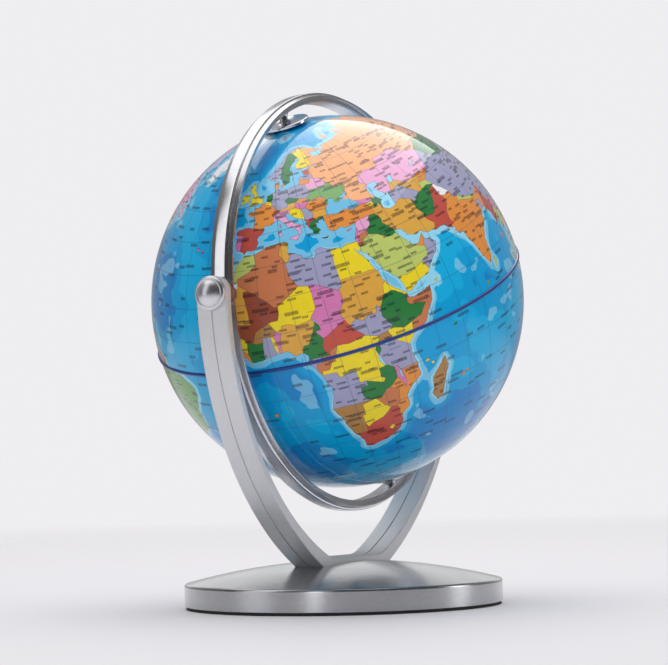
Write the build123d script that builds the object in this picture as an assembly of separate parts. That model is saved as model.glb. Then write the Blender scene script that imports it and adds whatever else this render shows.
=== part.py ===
from build123d import *
import math
import os

# Desktop globe on a stand, in millimetres. +Z is up, the origin is the centre of the base's underside,
# and X runs along the pivot axis that carries the meridian ring between the two arms of the stand.

# ---- driving dimensions -------------------------------------------------------------------------
GLOBE_R = 71.0                # outer radius of the globe's shell
SHELL = 1.6                   # wall of each hemisphere
PIVOT_Z = 115.8               # height of the ring's pivot axis, which is also the globe's centre
POLAR_TILT = 23.5             # tilt of the earth's axis inside the ring's plane
RING_LEAN = 3.4               # how far the ring leans back about the pivot axis at rest

BASE_R = 60.4                 # outer radius of the domed base
BASE_EDGE_Z = 9.4             # height of the rim where the dome meets the side
DOME_TOP_Z = 17.3             # height of the dome's apex
BASE_WALL = 1.6
RIM = 1.0                     # easing of the rim
PAD_T = 1.2                   # foam ring under the base
PAD_R = 59.8
PAD_INNER_R = 51.5
PLATE_T = 1.8                 # steel bottom plate
BALLAST_R = 41.0
BALLAST_T = 6.0
PLATE_SCREW_PCR = 46.0        # pitch radius of the three screws that close the base
FOOT_SCREW_X = 20.0           # screws that hold the stand's foot on the dome
FOOT_SCREW_Y = 3.2

YOKE_W = 12.8                 # width of the stand's strip along Y
YOKE_TOP_Z = 18.8             # upper face of the foot between the arms
ARM_OUT_C = (-34.4, 121.2)    # centre of the right arm's outer arc, X and Z
ARM_OUT_R = 120.6
ARM_IN_C = (-25.2, 117.7)     # centre of the right arm's inner arc
ARM_IN_R = 107.8
SEAM = 0.3                    # bevel that leaves the seam line between the two halves

RING_OUT_R = 80.0             # crest of the meridian ring
RING_IN_R = 76.1
RING_SPLIT_R = 77.9           # where the outer band meets the inner band
RING_HALF_W = 4.6
RING_CREST_HALF_W = 2.4

PIN_R = 2.0                   # pivot pins of the ring
SPACER_R = 5.5
CAP_R = 6.2                   # pivot knobs on the outside of the arms
CAP_SEAT_X = 85.9             # flat spot on the arm under each knob
SPACER_SEAT_X = 82.3          # flat spot inside each arm
RING_SEAT_X = 79.3            # flat spot on the outside of the ring
HEAD_SEAT_X = 76.3            # flat spot on the inside of the ring

POLE_PIN_R = 1.2
POLE_CAP_R = 9.2
RUN = 0.05                    # radial running clearance of pins that turn
FIT = 0.02                    # radial clearance of pieces that stay put

PLATE_Z = PAD_T
BALLAST_Z = PLATE_Z + PLATE_T
DOME_R = (BASE_R ** 2 + (DOME_TOP_Z - BASE_EDGE_Z) ** 2) / (2 * (DOME_TOP_Z - BASE_EDGE_Z))
DOME_C = (0, 0, DOME_TOP_Z - DOME_R)

RING_PLACE = Pos(0, 0, PIVOT_Z) * Rot(-RING_LEAN, 0, 0)
POLAR_PLACE = RING_PLACE * Rot(0, -POLAR_TILT, 0)


# ---- helpers ------------------------------------------------------------------------------------
def turned(points):
    """Solid of revolution about Z from a closed outline of (radius, z) points."""
    outline = Plane.XZ * make_face(Polyline(*points, close=True))
    return revolve(outline, Axis.Z)


def rod(radius, z0, z1, x=0.0, y=0.0):
    return Pos(x, y, z0) * Cylinder(radius, z1 - z0, align=(Align.CENTER, Align.CENTER, Align.MIN))


def along_x(part, side):
    """Turn a piece made along +Z so that it points outwards along X at the pivot height."""
    return Pos(0, 0, PIVOT_Z) * Rot(0, 90 * side, 0) * part


def along_pole(part, pole):
    """Place a piece made along +Z on the polar axis; pole is +1 for north, -1 for south."""
    return POLAR_PLACE * (part if pole > 0 else Rot(180, 0, 0) * part)


def save(name, shape):
    solids = shape.solids()
    whole = solids[0] if len(solids) == 1 else Compound(children=list(solids))
    whole.label = name
    export_step(whole, f"parts/{name}.step")


# ---- base ---------------------------------------------------------------------------------------
def plate_screw_spots():
    return [(PLATE_SCREW_PCR * math.cos(math.radians(a)), PLATE_SCREW_PCR * math.sin(math.radians(a)))
            for a in (90, 210, 330)]


def foot_screw_spots():
    return [(sx * FOOT_SCREW_X, sy * FOOT_SCREW_Y) for sx in (-1, 1) for sy in (-1, 1)]


def dome_z(r):
    return DOME_C[2] + math.sqrt(DOME_R ** 2 - r ** 2)


def dome_body(wall):
    """The base's solid form with its eased rim, shrunk by `wall` on the side and under the dome."""
    r_out = BASE_R - wall
    r_in = r_out - RIM
    rim_z = dome_z(r_in) - wall
    mid_r = r_out - 0.28 * RIM
    outline = make_face([
        Line((0, PLATE_Z), (r_out, PLATE_Z)),
        Line((r_out, PLATE_Z), (r_out, rim_z - 1.15 * RIM)),
        ThreePointArc((r_out, rim_z - 1.15 * RIM), (mid_r, rim_z - 0.38 * RIM), (r_in, rim_z)),
        ThreePointArc((r_in, rim_z), (r_in / 2, dome_z(r_in / 2) - wall), (0, DOME_TOP_Z - wall)),
        Line((0, DOME_TOP_Z - wall), (0, PLATE_Z)),
    ])
    return revolve(Plane.XZ * outline, Axis.Z)


def base_cover():
    cover = dome_body(0) - dome_body(BASE_WALL)
    under_skin = dome_body(BASE_WALL / 2)
    for x, y in plate_screw_spots():
        cover += rod(3.6, BALLAST_Z, DOME_TOP_Z, x, y) & under_skin
    for side in (-1, 1):
        seat = Pos(side * FOOT_SCREW_X, 0, 13.0) * Box(8, 14, 5, align=(Align.CENTER, Align.CENTER, Align.MIN))
        cover += seat & under_skin
    for x, y in plate_screw_spots():
        cover -= rod(1.5 + FIT, 0, 9.5, x, y)
    for x, y in foot_screw_spots():
        cover -= rod(1.25 + FIT, 12, 20, x, y)
    return cover


def base_bottom_plate():
    plate = rod(BASE_R - BASE_WALL - 0.1, PLATE_Z, BALLAST_Z)
    for x, y in plate_screw_spots():
        plate -= rod(1.6, 0, 5, x, y)
        plate -= Pos(x, y, PLATE_Z) * Cone(2.9, 1.6, 1.3, align=(Align.CENTER, Align.CENTER, Align.MIN))
    plate -= rod(2.0 + FIT, 0, 5)
    return plate


def base_foot_pad():
    ring = rod(PAD_R, 0, PAD_T) - rod(PAD_INNER_R, -1, PAD_T + 1)
    return ring


def base_ballast():
    disc = rod(BALLAST_R, BALLAST_Z, BALLAST_Z + BALLAST_T)
    disc = chamfer(disc.edges().filter_by(GeomType.CIRCLE), 0.6)
    return disc - rod(2.0 + FIT, 0, 20)


def ballast_bolt():
    head = rod(4.2, 0.25, PLATE_Z)
    head = fillet(head.edges().sort_by(Axis.Z)[0], 0.5)
    slot = Pos(0, 0, 0.25) * Box(9, 1.0, 0.9)
    return head + rod(2.0, PLATE_Z, BALLAST_Z + BALLAST_T + 2.4) - slot


def ballast_nut():
    z0 = BALLAST_Z + BALLAST_T
    nut = Pos(0, 0, z0) * extrude(RegularPolygon(4.0, 6), 2.2)
    return nut - rod(2.0 + FIT, z0 - 1, z0 + 4)


def base_plate_screws():
    screws = []
    for x, y in plate_screw_spots():
        head = Pos(x, y, PLATE_Z) * Cone(2.8, 1.5, 1.3, align=(Align.CENTER, Align.CENTER, Align.MIN))
        slot = Pos(x, y, PLATE_Z) * Box(6.4, 0.8, 0.9)
        screws.append(head + rod(1.5, PLATE_Z + 1.2, 9.0, x, y) - slot)
    return Compound(children=screws)


def yoke_foot_screws():
    screws = []
    for x, y in foot_screw_spots():
        head = rod(2.3, 11.5, 13.0, x, y)
        slot = Pos(x, y, 11.5) * Box(6, 0.7, 1.1)
        screws.append(head + rod(1.25, 13.0, 18.6, x, y) - slot)
    return Compound(children=screws)


# ---- stand --------------------------------------------------------------------------------------
def arc_x(centre, radius, z):
    """X of a right-hand arm arc at height z."""
    return centre[0] + math.sqrt(radius ** 2 - (z - centre[1]) ** 2)


def arc_z(centre, radius, x):
    """Height of the lower half of a right-hand arm arc at x."""
    return centre[1] - math.sqrt(radius ** 2 - (x - centre[0]) ** 2)


def yoke_outline():
    """Closed outline of the whole stand in the XZ plane, foot and both arms."""
    top = PIVOT_Z + YOKE_W / 2
    low = 13.0
    mid = 60.0
    foot_x = ARM_IN_C[0] + math.sqrt(ARM_IN_R ** 2 - (ARM_IN_C[1] - YOKE_TOP_Z) ** 2)
    sides = []
    for s in (1, -1):
        def out(z):
            return (s * arc_x(ARM_OUT_C, ARM_OUT_R, z), z)

        def inn(z):
            return (s * arc_x(ARM_IN_C, ARM_IN_R, z), z)

        sides.append(ThreePointArc(out(low), out(mid), out(top)))
        sides.append(Line(out(top), inn(top)))
        sides.append(ThreePointArc(inn(top), inn(mid), (s * foot_x, YOKE_TOP_Z)))
    sides.append(Line((foot_x, YOKE_TOP_Z), (-foot_x, YOKE_TOP_Z)))
    out_low = arc_x(ARM_OUT_C, ARM_OUT_R, low)
    sides.append(Line((out_low, low), (-out_low, low)))
    face = make_face(sides)
    corners = [v for v in face.vertices() if abs(v.Y - YOKE_TOP_Z) < 0.01 and abs(abs(v.X) - foot_x) < 0.01]
    return fillet(corners, 14.0)


def yoke_half(front):
    """Front (-Y) or rear (+Y) half of the stand, split on its middle plane."""
    face = yoke_outline()
    lip = offset(face, -SEAM, kind=Kind.INTERSECTION)
    lip_part = extrude(Plane.XZ * lip, SEAM)
    body = extrude(Plane.XZ.offset(SEAM) * face, YOKE_W / 2 - SEAM)
    far = [e for e in body.edges() if abs(e.center().Y + YOKE_W / 2) < 0.01]
    body = chamfer(far, 0.35)
    half = body + lip_part
    crown = along_x(rod(YOKE_W / 2, 60, 100), 1) + along_x(rod(YOKE_W / 2, 60, 100), -1)
    stem = Pos(0, 0, PIVOT_Z - 120) * Box(240, YOKE_W, 240)
    half &= crown + stem
    if not front:
        half = mirror(half, Plane.XZ)
    half -= Pos(*DOME_C) * Sphere(DOME_R + FIT)
    for side in (-1, 1):
        half -= along_x(rod(PIN_R + FIT, 60, 100), side)
        half -= along_x(rod(SPACER_R + 0.1, 60, SPACER_SEAT_X), side)
        half -= along_x(rod(CAP_R + 0.1, CAP_SEAT_X, 100), side)
        half -= Pos(side * 58.6, 0, 47.0) * Rot(90, 0, 0) * Cylinder(0.8 + FIT, 6)
    for x, y in foot_screw_spots():
        half -= rod(1.25 + FIT, 12, 18.8, x, y)
    return half


def yoke_dowels():
    pins = [Pos(side * 58.6, 0, 47.0) * Rot(90, 0, 0) * Cylinder(0.8, 5.8) for side in (-1, 1)]
    return Compound(children=pins)


def pivot_cap(side):
    """Domed knob with a raised rim, a small flat crown and a blind bore for the pivot pin."""
    seat = CAP_SEAT_X
    bore = PIN_R + FIT
    dome_r = 6.0
    dome_centre = seat - 1.9

    def dome_point(r):
        return (r, dome_centre + math.sqrt(dome_r ** 2 - r ** 2))

    crown = dome_point(0.4)
    shoulder = (CAP_R - 1.4, dome_point(CAP_R - 1.4)[1])
    outline = make_face([
        Line((bore, seat), (CAP_R, seat)),
        Line((CAP_R, seat), (CAP_R, seat + 0.9)),
        ThreePointArc((CAP_R, seat + 0.9), (CAP_R - 0.3, seat + 1.6), (CAP_R - 1.0, seat + 1.9)),
        Line((CAP_R - 1.0, seat + 1.9), shoulder),
        ThreePointArc(shoulder, dome_point(2.4), crown),
        Line(crown, (0, crown[1])),
        Line((0, crown[1]), (0, seat + 2.6)),
        Line((0, seat + 2.6), (bore, seat + 2.6)),
        Line((bore, seat + 2.6), (bore, seat)),
    ])
    return along_x(revolve(Plane.XZ * outline, Axis.Z), side)


def pivot_pin(side):
    head = rod(3.9, HEAD_SEAT_X - 1.3, HEAD_SEAT_X - 0.1)
    head = fillet(head.edges().sort_by(Axis.Z)[0], 0.5)
    slot = Pos(0, 0, HEAD_SEAT_X - 1.3) * Box(8, 0.8, 1.0)
    pin = head + rod(PIN_R, HEAD_SEAT_X - 0.2, CAP_SEAT_X + 2.5) - slot
    return along_x(pin, side)


def pivot_spacer(side):
    washer = rod(SPACER_R, RING_SEAT_X + 0.1, SPACER_SEAT_X)
    washer = fillet(washer.edges().filter_by(GeomType.CIRCLE).sort_by(Axis.Z)[0], 0.4)
    return along_x(washer - rod(PIN_R + FIT, 70, 90), side)


# ---- meridian ring ------------------------------------------------------------------------------
def ring_band(half_outline):
    """Full ring about the ring's own axis from one half of its (radius, width) section."""
    other = [(r, -w) for r, w in reversed(half_outline) if w > 0]
    section = make_face(Polyline(*half_outline, *other, close=True))
    return RING_PLACE * revolve(section, Axis.Y)


def ring_cuts():
    """Flat seats and holes for the two pivot pins, and holes for the two pole pins."""
    cuts = []
    for side in (-1, 1):
        cuts.append(along_x(rod(PIN_R + RUN, 60, 90), side))
        cuts.append(along_x(rod(SPACER_R + 0.4, RING_SEAT_X, 90), side))
        cuts.append(along_x(rod(4.4, 60, HEAD_SEAT_X), side))
        cuts.append(along_pole(rod(1.6 + FIT, 60, 79.0), side))
    return cuts


def ring_outer_band():
    band = ring_band([
        (RING_SPLIT_R, 0),
        (RING_SPLIT_R, RING_HALF_W),
        (78.6, RING_HALF_W),
        (79.15, RING_CREST_HALF_W + 0.35),
        (79.15, RING_CREST_HALF_W + 0.1),
        (79.75, RING_CREST_HALF_W),
        (RING_OUT_R, RING_CREST_HALF_W - 0.3),
        (RING_OUT_R, 0),
    ])
    for cut in ring_cuts():
        band -= cut
    return band


def ring_inner_band():
    band = ring_band([
        (RING_IN_R, 0),
        (RING_IN_R, 3.2),
        (RING_IN_R + 0.3, 3.5),
        (RING_SPLIT_R, 3.7),
        (RING_SPLIT_R, 0),
    ])
    for cut in ring_cuts():
        band -= cut
    return band


def pole_pin(pole):
    pin = turned([
        (0, 58.5), (0.8, 58.5), (POLE_PIN_R, 58.9), (POLE_PIN_R, 73.7), (1.6, 73.7), (1.75, 74.6),
        (2.1, 75.4), (2.8, RING_IN_R - 0.05), (1.6, RING_IN_R - 0.05), (1.6, 78.9), (0, 78.9),
    ])
    return along_pole(pin, pole)


# ---- globe --------------------------------------------------------------------------------------
BAND_HALF_W = 0.95            # navy rib that covers the joint of the two hemispheres
BAND_IN_R = 70.3
BAND_OUT_R = 71.7
JOINT_HALF_W = 5.0


def hemisphere(pole):
    shell = Sphere(GLOBE_R) - Sphere(GLOBE_R - SHELL)
    half = shell & rod(90, 0, 90)
    half -= rod(90, -1, BAND_HALF_W) - rod(BAND_IN_R, -2, 2)
    half -= rod(3.0, 60, 80)
    return along_pole(half, pole)


def equator_band():
    g = 0.12
    band = turned([
        (BAND_IN_R, -BAND_HALF_W), (BAND_OUT_R - 0.35, -BAND_HALF_W), (BAND_OUT_R, -BAND_HALF_W + 0.35),
        (BAND_OUT_R, -g), (BAND_OUT_R - g, 0), (BAND_OUT_R, g), (BAND_OUT_R, BAND_HALF_W - 0.35),
        (BAND_OUT_R - 0.35, BAND_HALF_W), (BAND_IN_R, BAND_HALF_W),
    ])
    return POLAR_PLACE * band


def equator_joint_ring():
    inner = GLOBE_R - SHELL
    ring = rod(inner - 0.3, -JOINT_HALF_W, JOINT_HALF_W) - rod(inner - 1.9, -JOINT_HALF_W - 1, JOINT_HALF_W + 1)
    return POLAR_PLACE * ring


def hub_bush(pole):
    bush = turned([
        (POLE_PIN_R + RUN, 60.0), (4.4, 60.0), (4.4, 66.8), (8.0, 67.6), (8.0, 68.8), (2.95, 69.2),
        (2.95, 70.9), (POLE_PIN_R + RUN, 70.9),
    ])
    return along_pole(bush, pole)


def pole_cap(pole):
    cap = turned([
        (POLE_PIN_R + RUN, 71.05), (4.2, 71.05), (5.2, 71.35), (8.6, 71.35), (POLE_CAP_R, 71.7),
        (POLE_CAP_R, 72.5), (8.7, 72.8), (8.1, 72.7), (5.0, 72.25), (2.9, 72.3), (2.1, 72.7), (1.75, 73.4),
        (POLE_PIN_R + RUN, 73.4),
    ])
    return along_pole(cap, pole)


# ---- all pieces ---------------------------------------------------------------------------------
def main():
    os.makedirs("parts", exist_ok=True)
    save("base_cover", base_cover())
    save("base_bottom_plate", base_bottom_plate())
    save("base_foot_pad", base_foot_pad())
    save("base_ballast", base_ballast())
    save("ballast_bolt", ballast_bolt())
    save("ballast_nut", ballast_nut())
    save("base_plate_screws", base_plate_screws())
    save("yoke_foot_screws", yoke_foot_screws())
    save("yoke_front_half", yoke_half(True))
    save("yoke_rear_half", yoke_half(False))
    save("yoke_dowels", yoke_dowels())
    for name, side in (("left", -1), ("right", 1)):
        save(f"{name}_pivot_cap", pivot_cap(side))
        save(f"{name}_pivot_pin", pivot_pin(side))
        save(f"{name}_pivot_spacer", pivot_spacer(side))
    save("ring_outer_band", ring_outer_band())
    save("ring_inner_band", ring_inner_band())
    save("equator_band", equator_band())
    save("equator_joint_ring", equator_joint_ring())
    for name, pole in (("north", 1), ("south", -1)):
        save(f"{name}_pole_pin", pole_pin(pole))
        save(f"{name}_hemisphere", hemisphere(pole))
        save(f"{name}_hub_bush", hub_bush(pole))
        save(f"{name}_pole_cap", pole_cap(pole))


main()
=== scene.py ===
"""Desktop globe: a printed ball turning on a tilted axis in a meridian ring, held by a two-armed stand."""
import math

import bmesh
import bpy
import numpy as np
from bpy.props import FloatProperty, FloatVectorProperty, PointerProperty
from bpy.types import Operator, Panel, PropertyGroup
from mathutils import Matrix, Vector, geometry, kdtree, noise


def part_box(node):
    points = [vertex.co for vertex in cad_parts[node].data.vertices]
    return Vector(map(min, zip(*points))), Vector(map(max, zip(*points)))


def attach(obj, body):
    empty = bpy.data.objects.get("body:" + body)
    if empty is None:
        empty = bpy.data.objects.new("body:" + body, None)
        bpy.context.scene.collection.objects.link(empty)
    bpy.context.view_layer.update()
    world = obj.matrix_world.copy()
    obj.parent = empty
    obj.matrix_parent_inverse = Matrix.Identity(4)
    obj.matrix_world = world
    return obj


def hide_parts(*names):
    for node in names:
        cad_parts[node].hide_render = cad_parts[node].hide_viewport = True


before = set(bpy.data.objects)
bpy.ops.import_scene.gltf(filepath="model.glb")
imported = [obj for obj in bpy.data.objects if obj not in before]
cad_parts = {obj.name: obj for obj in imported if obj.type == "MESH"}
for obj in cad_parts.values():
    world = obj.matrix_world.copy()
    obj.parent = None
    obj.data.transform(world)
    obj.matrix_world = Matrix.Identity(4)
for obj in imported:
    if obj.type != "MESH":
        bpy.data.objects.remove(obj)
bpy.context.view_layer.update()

bl_info = {
    "name": "Desktop Globe",
    "version": (1, 0, 0),
    "blender": (4, 5, 0),
    "location": "3D View > Sidebar > Globe",
    "description": "Models a desktop globe in its meridian ring and stand around the packed frame",
    "category": "Object",
}

MM = 0.001
WELD = 1e-6                                                # vertices nearer than this are one
PIVOT = sum(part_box("right_pivot_cap"), Vector()) / 2       # middle of a knob, on the ring's tilting axis
BASE_LOW, BASE_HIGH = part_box("base_cover")


# ---- sizes and colours a user would change --------------------------------------------------------
def length(name, text, default):
    return FloatProperty(name=name, description=text, default=default, min=0, unit="LENGTH",
                         subtype="DISTANCE")


def turn(name, text, degrees):
    return FloatProperty(name=name, description=text, default=math.radians(degrees), unit="ROTATION",
                         subtype="ANGLE")


def colour(name, text, red, green, blue):
    """A colour given as 0 to 255 on screen, kept as light values."""
    return FloatVectorProperty(name=name, description=text, default=light(red, green, blue), size=3,
                               min=0, max=1, subtype="COLOR")


def light(*screen):
    """Light values of screen values from 0 to 255."""
    return tuple(c / 3294.6 if c < 11 else ((c / 255 + 0.055) / 1.055) ** 2.4 for c in screen)


class GlobeSizes(PropertyGroup):
    globe_radius: length("Globe radius", "Outside radius of the ball", 71 * MM)
    wall: length("Shell wall", "Wall of each half of the ball", 1.6 * MM)
    pivot_height: length("Pivot height", "Height of the ring's tilting axis and the ball's centre", PIVOT.z)
    polar_tilt: turn("Polar tilt", "Tilt of the ball's axis in the plane of the ring", 23.5)
    ring_lean: turn("Ring lean", "How far the ring leans back at rest", 3.4)
    prime_turn: turn("Map turn", "Turn of the map about the polar axis at rest", 189.94)
    base_radius: length("Base radius", "Outside radius of the domed base", BASE_HIGH.x)
    base_low: length("Base underside", "Height of the cover's lower edge", BASE_LOW.z)
    base_edge: length("Base edge", "Height where the dome would meet the side", 9.4 * MM)
    base_top: length("Dome top", "Height of the middle of the dome", BASE_HIGH.z)
    yoke_width: length("Stand width", "Width of the stand's strip", 12.8 * MM)
    ring_radius: length("Ring radius", "Radius of the ring's outer crest", 80 * MM)
    knob_radius: length("Knob radius", "Radius of the pivot knobs", 6.2 * MM)


class GlobeColours(PropertyGroup):
    silver: colour("Silver paint", "Paint on the base and stand", 216, 217, 220)
    chrome: colour("Satin chrome", "Metal of the ring and the fittings", 226, 226, 230)
    navy: colour("Band", "Plastic of the equator band", 0, 48, 128)
    sea: colour("Sea", "Open sea on the map", 0, 150, 204)
    bright_sea: colour("Bright sea", "Lighter plateaus of the sea floor", 14, 166, 214)
    deep: colour("Deep sea", "Deepest basins on the map", 0, 120, 188)
    shallow: colour("Shelf", "Shallow water along the coasts", 150, 208, 228)
    floor: colour("Floor", "Studio floor", 228, 226, 229)


# ---- modelling helpers ------------------------------------------------------------------------------
def sizes():
    return bpy.context.scene.globe_sizes


def hues():
    return bpy.context.scene.globe_colours


def put_tools_down():
    """Object mode with nothing selected."""
    if bpy.context.object and bpy.context.object.mode != "OBJECT":
        bpy.ops.object.mode_set(mode="OBJECT")
    bpy.ops.object.select_all(action="DESELECT")


def pick(obj):
    put_tools_down()
    obj.select_set(True)
    bpy.context.view_layer.objects.active = obj


def draw_outline(name, points):
    """Draw a closed outline in the XZ plane, one extruded vertex after another."""
    put_tools_down()
    bpy.ops.mesh.primitive_plane_add(size=MM)
    obj = bpy.context.object
    obj.name = obj.data.name = name
    bpy.ops.object.mode_set(mode="EDIT")
    bpy.ops.mesh.select_mode(type="VERT")
    bpy.ops.mesh.select_all(action="SELECT")
    bpy.ops.mesh.merge(type="CENTER")
    steps = [(b[0] - a[0], 0, b[1] - a[1]) for a, b in zip([(0, 0)] + points, points + points[:1])]
    bpy.ops.transform.translate(value=steps[0])
    for step in steps[1:]:
        bpy.ops.mesh.extrude_region_move(TRANSFORM_OT_translate={"value": step})
    bpy.ops.mesh.select_all(action="SELECT")
    bpy.ops.mesh.remove_doubles(threshold=WELD)
    return obj


def finish_normals():
    """Merge what touches and turn every face outwards."""
    bpy.ops.mesh.select_all(action="SELECT")
    bpy.ops.mesh.remove_doubles(threshold=WELD)
    bpy.ops.mesh.normals_make_consistent(inside=False)


def turn_outline(name, points, steps):
    """Spin a closed outline of (radius, height) points about Z."""
    obj = draw_outline(name, points)
    bpy.ops.mesh.spin(steps=steps, angle=2 * math.pi, center=(0, 0, 0), axis=(0, 0, 1))
    finish_normals()
    bpy.ops.object.mode_set(mode="OBJECT")
    return obj


def apply(obj, kind, **settings):
    """Add a modifier with these settings and apply it."""
    pick(obj)
    modifier = obj.modifiers.new(kind.title(), kind)
    for key, value in settings.items():
        setattr(modifier, key, value)
    bpy.ops.object.modifier_apply(modifier=modifier.name)


def ease(obj, width, angle=30):
    """Round the edges sharper than an angle in degrees and keep the flats flat in the light."""
    apply(obj, "BEVEL", width=width, segments=2, limit_method="ANGLE", angle_limit=math.radians(angle))
    pick(obj)
    bpy.ops.object.shade_smooth_by_angle(angle=math.radians(60))
    apply(obj, "WEIGHTED_NORMAL", keep_sharp=True, weight=60)


def set_down(obj, place):
    """Move a piece to its place and leave that place in its mesh."""
    obj.matrix_world = place
    pick(obj)
    bpy.ops.object.transform_apply(location=True, rotation=True, scale=True)


def dress(obj, body, slot, material, *nodes):
    """Give a piece its finish, the body it rides on and the nodes it stands for; the slot is not used."""
    obj.data.materials.clear()
    obj.data.materials.append(material)
    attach(obj, body)
    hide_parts(*nodes)
    return obj


def arc(centre, radius, start, stop, count):
    """Points on an arc from one angle to another, in degrees from the first axis."""
    return [(centre[0] + radius * math.cos(math.radians(start + (stop - start) * i / count)),
             centre[1] + radius * math.sin(math.radians(start + (stop - start) * i / count)))
            for i in range(count + 1)]


def in_mm(points):
    return [(a * MM, b * MM) for a, b in points]


def ring_place():
    """The ring's own frame: its middle at the pivot height, leaning back."""
    return Matrix.Translation((0, 0, sizes().pivot_height)) @ Matrix.Rotation(-sizes().ring_lean, 4, "X")


def polar_place(pole=1):
    """A frame with Z along the ball's axis, out of the north pole, or the south pole at -1."""
    place = ring_place() @ Matrix.Rotation(-sizes().polar_tilt, 4, "Y")
    return place if pole > 0 else place @ Matrix.Rotation(math.pi, 4, "X")


def pivot_place(side):
    """A frame with Z along the tilting axis, out to the right, or to the left at -1."""
    return Matrix.Translation((0, 0, sizes().pivot_height)) @ Matrix.Rotation(side * math.pi / 2, 4, "Y")


# ---- finishes ---------------------------------------------------------------------------------------
class Value:
    """A socket that takes part in sums, adding Math nodes."""

    def __init__(self, sheet, socket):
        self.sheet, self.socket = sheet, socket

    def math(self, operation, *others, flip=False):
        values = [self, *others]
        return self.sheet.make("ShaderNodeMath", {"operation": operation}, dict(enumerate(
            values[::-1] if flip else values)))

    def __add__(self, other):
        return self.math("ADD", other)

    def __truediv__(self, other):
        return self.math("DIVIDE", other)

    def __sub__(self, other):
        return self.math("SUBTRACT", other)

    def __rsub__(self, other):
        return self.math("SUBTRACT", other, flip=True)

    def __mul__(self, other):
        return self.math("MULTIPLY", other)

    def over(self, low, high):
        """0 below low, 1 above high, and a smooth step between."""
        return self.sheet.make("ShaderNodeMapRange", {"interpolation_type": "SMOOTHSTEP"},
                               {"Value": self, "From Min": low, "From Max": high})

    def other(self, name):
        """Another output of the node this value comes from."""
        return Value(self.sheet, self.socket.node.outputs[name])

    __radd__, __rmul__ = __add__, __mul__


class NodeSheet:
    """A node tree whose nodes all come from one method."""

    def __init__(self, tree):
        self.tree = tree
        tree.nodes.clear()

    def make(self, kind, settings=None, inputs=None, output=0):
        """Add any node: its settings first, then the values or links of its sockets."""
        node = self.tree.nodes.new(kind)
        for key, value in (settings or {}).items():
            if key == "stops":
                ramp = node.color_ramp
                while len(ramp.elements) < len(value):
                    ramp.elements.new(1)
                for element, (position, tint) in zip(ramp.elements, value):
                    element.position, element.color = position, (*tint, 1)
            else:
                setattr(node, key, value)
        for key, value in (inputs or {}).items():
            self.feed(node.inputs[key], value)
        return Value(self, node.outputs[output])

    def feed(self, socket, value):
        if isinstance(value, Value):
            self.tree.links.new(value.socket, socket)
        elif isinstance(value, tuple) and len(value) == 3 and socket.type == "RGBA":
            socket.default_value = (*value, 1)
        else:
            socket.default_value = value

    def end(self, kind, value):
        """Link a value to a new output node."""
        self.feed(self.tree.nodes.new(kind).inputs[0], value)

    def mix(self, amount, low, high):
        """Mix two colours."""
        node = self.tree.nodes.new("ShaderNodeMix")
        node.data_type = "RGBA"
        for index, value in ((0, amount), (6, low), (7, high)):
            self.feed(node.inputs[index], value)
        return Value(self, node.outputs[2])

    def parts(self, vector):
        """The three parts of a vector, each as a value."""
        apart = self.make("ShaderNodeSeparateXYZ", None, {"Vector": vector})
        return [apart.other(name) for name in "XYZ"]


class Finish(NodeSheet):
    """A material with a Principled shader at its end, and Object coordinates for its patterns."""

    def __init__(self, name, **fixed):
        self.material = bpy.data.materials.new(name)
        self.material.use_nodes = True
        super().__init__(self.material.node_tree)
        self.shader = self.tree.nodes.new("ShaderNodeBsdfPrincipled")
        self.end("ShaderNodeOutputMaterial", Value(self, self.shader.outputs[0]))
        for key, value in fixed.items():
            self.set(key.replace("_", " "), value)
        self.place = self.make("ShaderNodeTexCoord", output="Object")

    def set(self, name, value):
        self.feed(self.shader.inputs[name], value)

    def noise(self, scale, detail=2.0, roughness=0.5):
        return self.make("ShaderNodeTexNoise", None, {"Vector": self.place, "Scale": scale,
                                                      "Detail": detail, "Roughness": roughness})

    def turned(self, turn, centre):
        """Object coordinates centred on a point, then turned."""
        return self.make("ShaderNodeMapping", {"vector_type": "TEXTURE"},
                         {"Vector": self.place, "Location": tuple(centre), "Rotation": tuple(turn)})

    def bump(self, height, distance, strength):
        self.set("Normal", self.make("ShaderNodeBump", None, {
            "Height": height, "Distance": distance, "Strength": strength}))


HAIR_LINES = 9000                                          # polishing lines to a metre


def silver_paint(name, tint, metallic, rough):
    """Sprayed metallic paint: fine flakes, a slight orange peel and softly worn patches."""
    paint = Finish(name, Coat_Weight=0.25, Coat_Roughness=0.12, Metallic=metallic)
    flake = paint.noise(9000, 1).over(0.42, 0.68)
    cloud = paint.noise(60, 3).over(0.3, 0.7)
    shade = paint.mix(flake, tuple(c * 0.80 for c in tint), tuple(min(1, c * 1.12) for c in tint))
    paint.set("Base Color", paint.mix(cloud * 0.3, shade, tuple(c * 0.93 for c in tint)))
    paint.set("Roughness", rough + 0.06 * cloud + 0.08 * flake)
    paint.bump(paint.noise(2600, 2) + 0.4 * flake, 0.02 * MM, 0.35)
    return paint.material


def satin_chrome(name, tint, turn, centre, rough=0.16):
    """Plated metal with hair lines that run round its own axis, and fine handling marks."""
    metal = Finish(name, Metallic=1.0)
    spot = metal.turned(turn, centre)
    across = metal.parts(spot)[2] * HAIR_LINES
    radius = metal.make("ShaderNodeVectorMath", {"operation": "LENGTH"}, {0: spot}, "Value") * HAIR_LINES
    place = metal.make("ShaderNodeCombineXYZ", None, {"X": across, "Y": radius})
    line = metal.make("ShaderNodeTexNoise", {"noise_dimensions": "2D"},
                      {"Vector": place, "Scale": 1.0, "Detail": 3.0})
    marks = metal.noise(240, 4, 0.7).over(0.45, 0.75)
    metal.set("Base Color", metal.mix(line, tuple(c * 0.93 for c in tint), tint))
    metal.set("Roughness", rough + 0.10 * line + 0.05 * marks)
    metal.bump(line, 0.006 * MM, 0.3)
    return metal.material


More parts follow.
